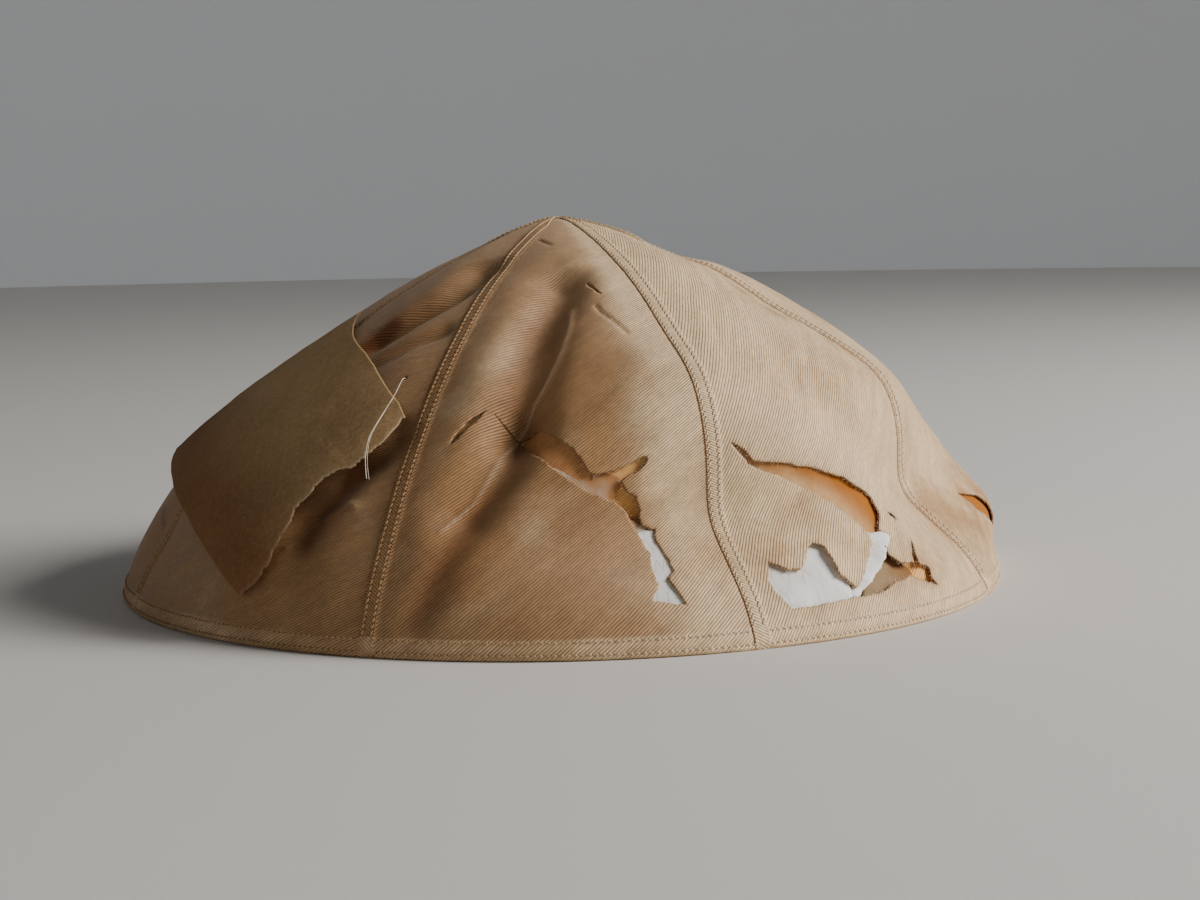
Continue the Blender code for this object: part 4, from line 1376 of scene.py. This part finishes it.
# %% Guides and the pieces made along them
def socket_id(tree, name):
    for item in tree.interface.items_tree:
        if item.in_out == "INPUT" and item.name == name:
            return item.identifier
    raise KeyError(name)


def store_vectors(mesh, name, vectors):
    layer = mesh.attributes.new(name, "FLOAT_VECTOR", "POINT")
    layer.data.foreach_set("vector", np.concatenate(vectors).astype(np.float32).ravel())


def guide_object(name, lines):
    """Edges along each line of points, with the cloth's normal stored on every point."""
    points, normals, edges = [], [], []
    for line_points, line_normals in lines:
        start = len(points)
        points += line_points.tolist()
        normals.append(line_normals)
        edges += [(start + i, start + i + 1) for i in range(len(line_points) - 1)]
    mesh = bpy.data.meshes.new(name)
    mesh.from_pydata(points, edges, [])
    store_vectors(mesh, "cloth_normal", normals)
    return add_object(name, mesh)


def made_by_nodes(name, guide, tree, values):
    """Runs the tree on the guide and keeps the result as a plain mesh piece."""
    modifier = guide.modifiers.new("nodes", "NODES")
    modifier.node_group = tree
    for key, value in values.items():
        modifier[socket_id(tree, key)] = value
    depsgraph = bpy.context.evaluated_depsgraph_get()
    mesh = bpy.data.meshes.new_from_object(guide.evaluated_get(depsgraph), depsgraph=depsgraph)
    mesh.name = name
    bpy.data.objects.remove(guide)
    piece = add_object(name, mesh)
    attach(piece, BODY)
    return piece


stitches = stitch_tree()


# %% Sew the seams and the hem
def seam_line(seam_turn, offset, height):
    """A line up a gore's strip at an offset from its seam."""
    rise = np.linspace(0.035, 0.985, 240)
    radius = profile_point(np.full(len(rise), seam_turn), rise)[0]
    inset = np.minimum(offset, 0.30 * radius * math.radians(GORE_TURN))
    turn = seam_turn + np.degrees(inset / radius)
    normals = cap_normal(turn, rise)
    points = cap_point(turn, rise)
    points = points + normals * (height + wrinkle(points))[:, None]
    return points, normals


def hem_line(up_cloth, height):
    turn = np.linspace(-180.0, 180.0, 1441)
    rise = up_cloth / profile_length(turn)
    normals = cap_normal(turn, rise)
    points = cap_point(turn, rise) + normals * height
    return points, normals


STITCH_SINK = 0.02 * MM
seam_turns = [GORE_TURN * (i - 0.5) for i in range(len(GORES))]
for number, name in enumerate(("seam_stitches_first_row", "seam_stitches_second_row")):
    lines = [seam_line(turn, STRIP_STITCHES[number], STRIP_RAISE - STITCH_SINK) for turn in seam_turns]
    values = {"Spacing": 1.10 * MM, "Length": 1.05 * MM, "Width": 0.38 * MM, "Slant": -0.36}
    values["Seed"] = 3 + number
    sewn = made_by_nodes(name, guide_object("seam_guide", lines), stitches, values)
    print(sewn.name, len(sewn.data.polygons), "faces")
lines = [hem_line(place, HEM_RAISE - STITCH_SINK * (1 + i)) for i, place in enumerate(HEM_STITCHES)]
values = {"Spacing": 1.15 * MM, "Length": 0.85 * MM, "Width": 0.40 * MM, "Slant": 0.25, "Seed": 5}
sewn = made_by_nodes("hem_stitches", guide_object("hem_guide", lines), stitches, values)
print(sewn.name, len(sewn.data.polygons), "faces")

# %% [markdown]
# ## Loose fibres
# Torn silk sheds. Short bent fibres stand out from every torn edge, most of them across the gap.
# Geometry Nodes set one small curve on each point of the torn outlines, turned and scaled by chance
# with a fixed seed.

# %% Fibre tree
fibre = thread_material("fibre", (0.86, 0.76, 0.60), (0.74, 0.58, 0.38))


def fibre_tree():
    """Bent fibres on a line whose points carry the cloth's normal and the way into the hole."""
    tree, ins, spaced = guided_tree(
        "fibres", ("Spacing", "Float", 0.35 * MM), ("Shortest", "Float", 0.4 * MM),
        ("Longest", "Float", 1.2 * MM), ("Radius", "Float", 0.035 * MM),
        ("Material", "Material", None), ("Seed", "Int", 1),
    )
    by_chance = node(
        tree, "FunctionNodeRandomValue", {"data_type": "FLOAT_VECTOR"},
        i0=(-0.9, -0.25, -1.1), i1=(0.9, 0.35, 1.1), Seed=ins["Seed"],
    ).outputs[0]
    size = node(
        tree, "FunctionNodeRandomValue", {"data_type": "FLOAT"},
        i2=ins["Shortest"], i3=ins["Longest"], Seed=ins["Seed"],
    ).outputs[1]
    bent = node(
        tree, "GeometryNodeCurveQuadraticBezier", Resolution=4,
        Start=(-0.15, 0.0, 0.0), Middle=(0.55, 0.22, 0.10), End=(1.0, -0.10, -0.08),
    ).outputs[0]
    turned = turned_to(tree, stored_vector(tree, "inward"), by_chance)
    real = set_on(tree, spaced, bent, Rotation=turned, Scale=combine(tree, X=size, Y=size, Z=size))
    section = node(tree, "GeometryNodeCurvePrimitiveCircle", Resolution=3, Radius=ins["Radius"]).outputs[0]
    tubes = node(tree, "GeometryNodeCurveToMesh", Curve=real, Profile_Curve=section, Fill_Caps=True)
    done = node(tree, "GeometryNodeSetMaterial", Geometry=tubes.outputs[0], Material=ins["Material"])
    tree.links.new(done.outputs[0], node(tree, "NodeGroupOutput").inputs[0])
    return tree


def torn_line(pattern, border):
    """A torn outline on the cap, with the cloth's normal and the way into the hole at each point."""
    ring = np.concatenate([border, border[:1]])
    before, after = np.roll(border, 1, axis=0), np.roll(border, -1, axis=0)
    along = np.concatenate([after - before, (after - before)[:1]])
    area = np.sum(border[:, 0] * after[:, 1] - after[:, 0] * border[:, 1])
    inward_flat = np.stack([-along[:, 1], along[:, 0]], -1) * np.sign(area)
    inward_flat /= np.linalg.norm(inward_flat, axis=1, keepdims=True) + 1e-12
    turn, rise = pattern.place(ring)
    normals = cap_normal(turn, rise)
    lift = tear_lift(turn, rise, np.zeros(len(turn))) - 0.2 * MM
    points = cap_point(turn, rise) + normals * lift[:, None]
    ahead = cap_point(*pattern.place(ring + inward_flat * MM)) - cap_point(turn, rise)
    return points, normals, ahead


fibres = fibre_tree()
torn = [torn_line(*outline) for outline in torn_outlines]
torn_guide = guide_object("guide_torn", [(points, normals) for points, normals, ahead in torn])
store_vectors(torn_guide.data, "inward", [ahead for points, normals, ahead in torn])
fibre_values = {
    "Spacing": 0.70 * MM, "Shortest": 0.20 * MM, "Longest": 0.80 * MM, "Radius": 0.026 * MM,
    "Material": fibre, "Seed": 11,
}
loose = made_by_nodes("loose_fibres", torn_guide, fibres, fibre_values)
print(loose.name, len(loose.data.polygons), "faces")

# %% [markdown]
# ## The thread through the label
# One white thread comes out of a hole above the paper, hangs across it and ends loose. It is a
# curve with a round section, made a mesh.

# %% Label thread
THREAD_PLACES = (
    (-28.4, 0.463, -0.5), (-27.6, 0.456, 0.7), (-26.9, 0.442, 1.9), (-26.3, 0.413, 2.5),
    (-26.5, 0.381, 2.9), (-27, 0.349, 3.1), (-27.2, 0.328, 3.2), (-27.1, 0.311, 3), (-26.8, 0.287, 2.3),
    (-26, 0.264, 1.6),
)
THREAD_RADIUS = 0.072 * MM


def strand(name, points, radius, material):
    """A thin tube along smooth points."""
    curve = bpy.data.curves.new(name, "CURVE")
    curve.dimensions = "3D"
    curve.bevel_depth = radius
    curve.bevel_resolution = 1
    curve.use_fill_caps = True
    spline = curve.splines.new("NURBS")
    spline.points.add(len(points) - 1)
    for target, point in zip(spline.points, points):
        target.co = (*point, 1.0)
    spline.order_u = 3
    spline.use_endpoint_u = True
    spline.resolution_u = 6
    holder = add_object(name + "_curve", curve)
    mesh = bpy.data.meshes.new_from_object(holder.evaluated_get(bpy.context.evaluated_depsgraph_get()))
    bpy.data.objects.remove(holder)
    mesh.materials.clear()
    mesh.materials.append(material)
    mesh.polygons.foreach_set("use_smooth", np.ones(len(mesh.polygons), bool))
    piece = add_object(name, mesh)
    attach(piece, BODY)
    return piece


thread_turn, thread_rise, thread_off = np.array(THREAD_PLACES).T
thread_normals = cap_normal(thread_turn, thread_rise, ())
thread_points = cap_point(thread_turn, thread_rise, ()) + thread_normals * (thread_off * MM)[:, None]
strand("label_thread", thread_points.tolist(), THREAD_RADIUS, white_thread)
side_by_side = np.array([0.16, 0.04, -0.05]) * MM
untwisted = thread_points[4:] + np.linspace(0.2, 2.6, len(thread_points) - 4)[:, None] * side_by_side
strand("label_thread_second_ply", untwisted.tolist(), 0.6 * THREAD_RADIUS, white_thread)

# %% [markdown]
# ## Floor and light
# The cap stands on a plain pale floor. Soft light from a large source on the right leaves the
# left side in shade, as a window does.

# %% Floor and backdrop
def stage_piece(name, verts, faces, colour, roughness, specular):
    mesh = bpy.data.meshes.new(name)
    mesh.from_pydata(verts, [], faces)
    mesh.polygons.foreach_set("use_smooth", [True] * len(faces))
    material, tree, shader = blank_material(name + "_paint", roughness, specular)
    shader.inputs["Base Color"].default_value = (*colour, 1.0)
    mesh.materials.append(material)
    add_object(name, mesh)


FLOOR_REACH = 3.0
floor_corners = [(x * FLOOR_REACH, y * FLOOR_REACH, 0) for x, y in ((-1, -1), (1, -1), (1, 1), (-1, 1))]
stage_piece("floor", floor_corners, [(0, 1, 2, 3)], (0.66, 0.64, 0.61), 0.7, 0.2)

# A plain round wall well away from the cap, on every side
WALL_RADIUS = 2.0
WALL_HEIGHT = 2.5
WALL_SIDES = 64
angles = [2 * math.pi * i / WALL_SIDES for i in range(WALL_SIDES)]
ring = [(WALL_RADIUS * math.sin(a), WALL_RADIUS * math.cos(a)) for a in angles]
wall_verts = [(x, y, z) for z in (0.0, WALL_HEIGHT) for x, y in ring]
following = [(i + 1) % WALL_SIDES for i in range(WALL_SIDES)]
wall_faces = [(i, j, WALL_SIDES + j, WALL_SIDES + i) for i, j in enumerate(following)]
stage_piece("backdrop", wall_verts, wall_faces, (0.60, 0.62, 0.65), 0.9, 0.1)


# %% Lights
def area_light(name, place, target, size, watts, colour):
    data = bpy.data.lights.new(name, "AREA")
    data.shape = "RECTANGLE"
    data.size, data.size_y = size
    data.energy = watts
    data.color = colour
    light = add_object(name, data)
    light.location = place
    light.rotation_euler = (Vector(target) - Vector(place)).to_track_quat("-Z", "Y").to_euler()


CAP_CENTRE = (0.0, 0.0, 0.035)
area_light("window", (1.16, -0.16, 0.68), CAP_CENTRE, (0.7, 0.6), 28.0, (1.0, 0.98, 0.95))
area_light("fill", (-0.7, -1.2, 0.7), CAP_CENTRE, (1.2, 1.2), 0.2, (1.0, 0.90, 0.78))
world = bpy.data.worlds.new("studio")
world.use_nodes = True
ambient = world.node_tree.nodes["Background"]
ambient.inputs["Color"].default_value = (1.0, 0.95, 0.90, 1.0)
ambient.inputs["Strength"].default_value = 0.05
bpy.context.scene.world = world
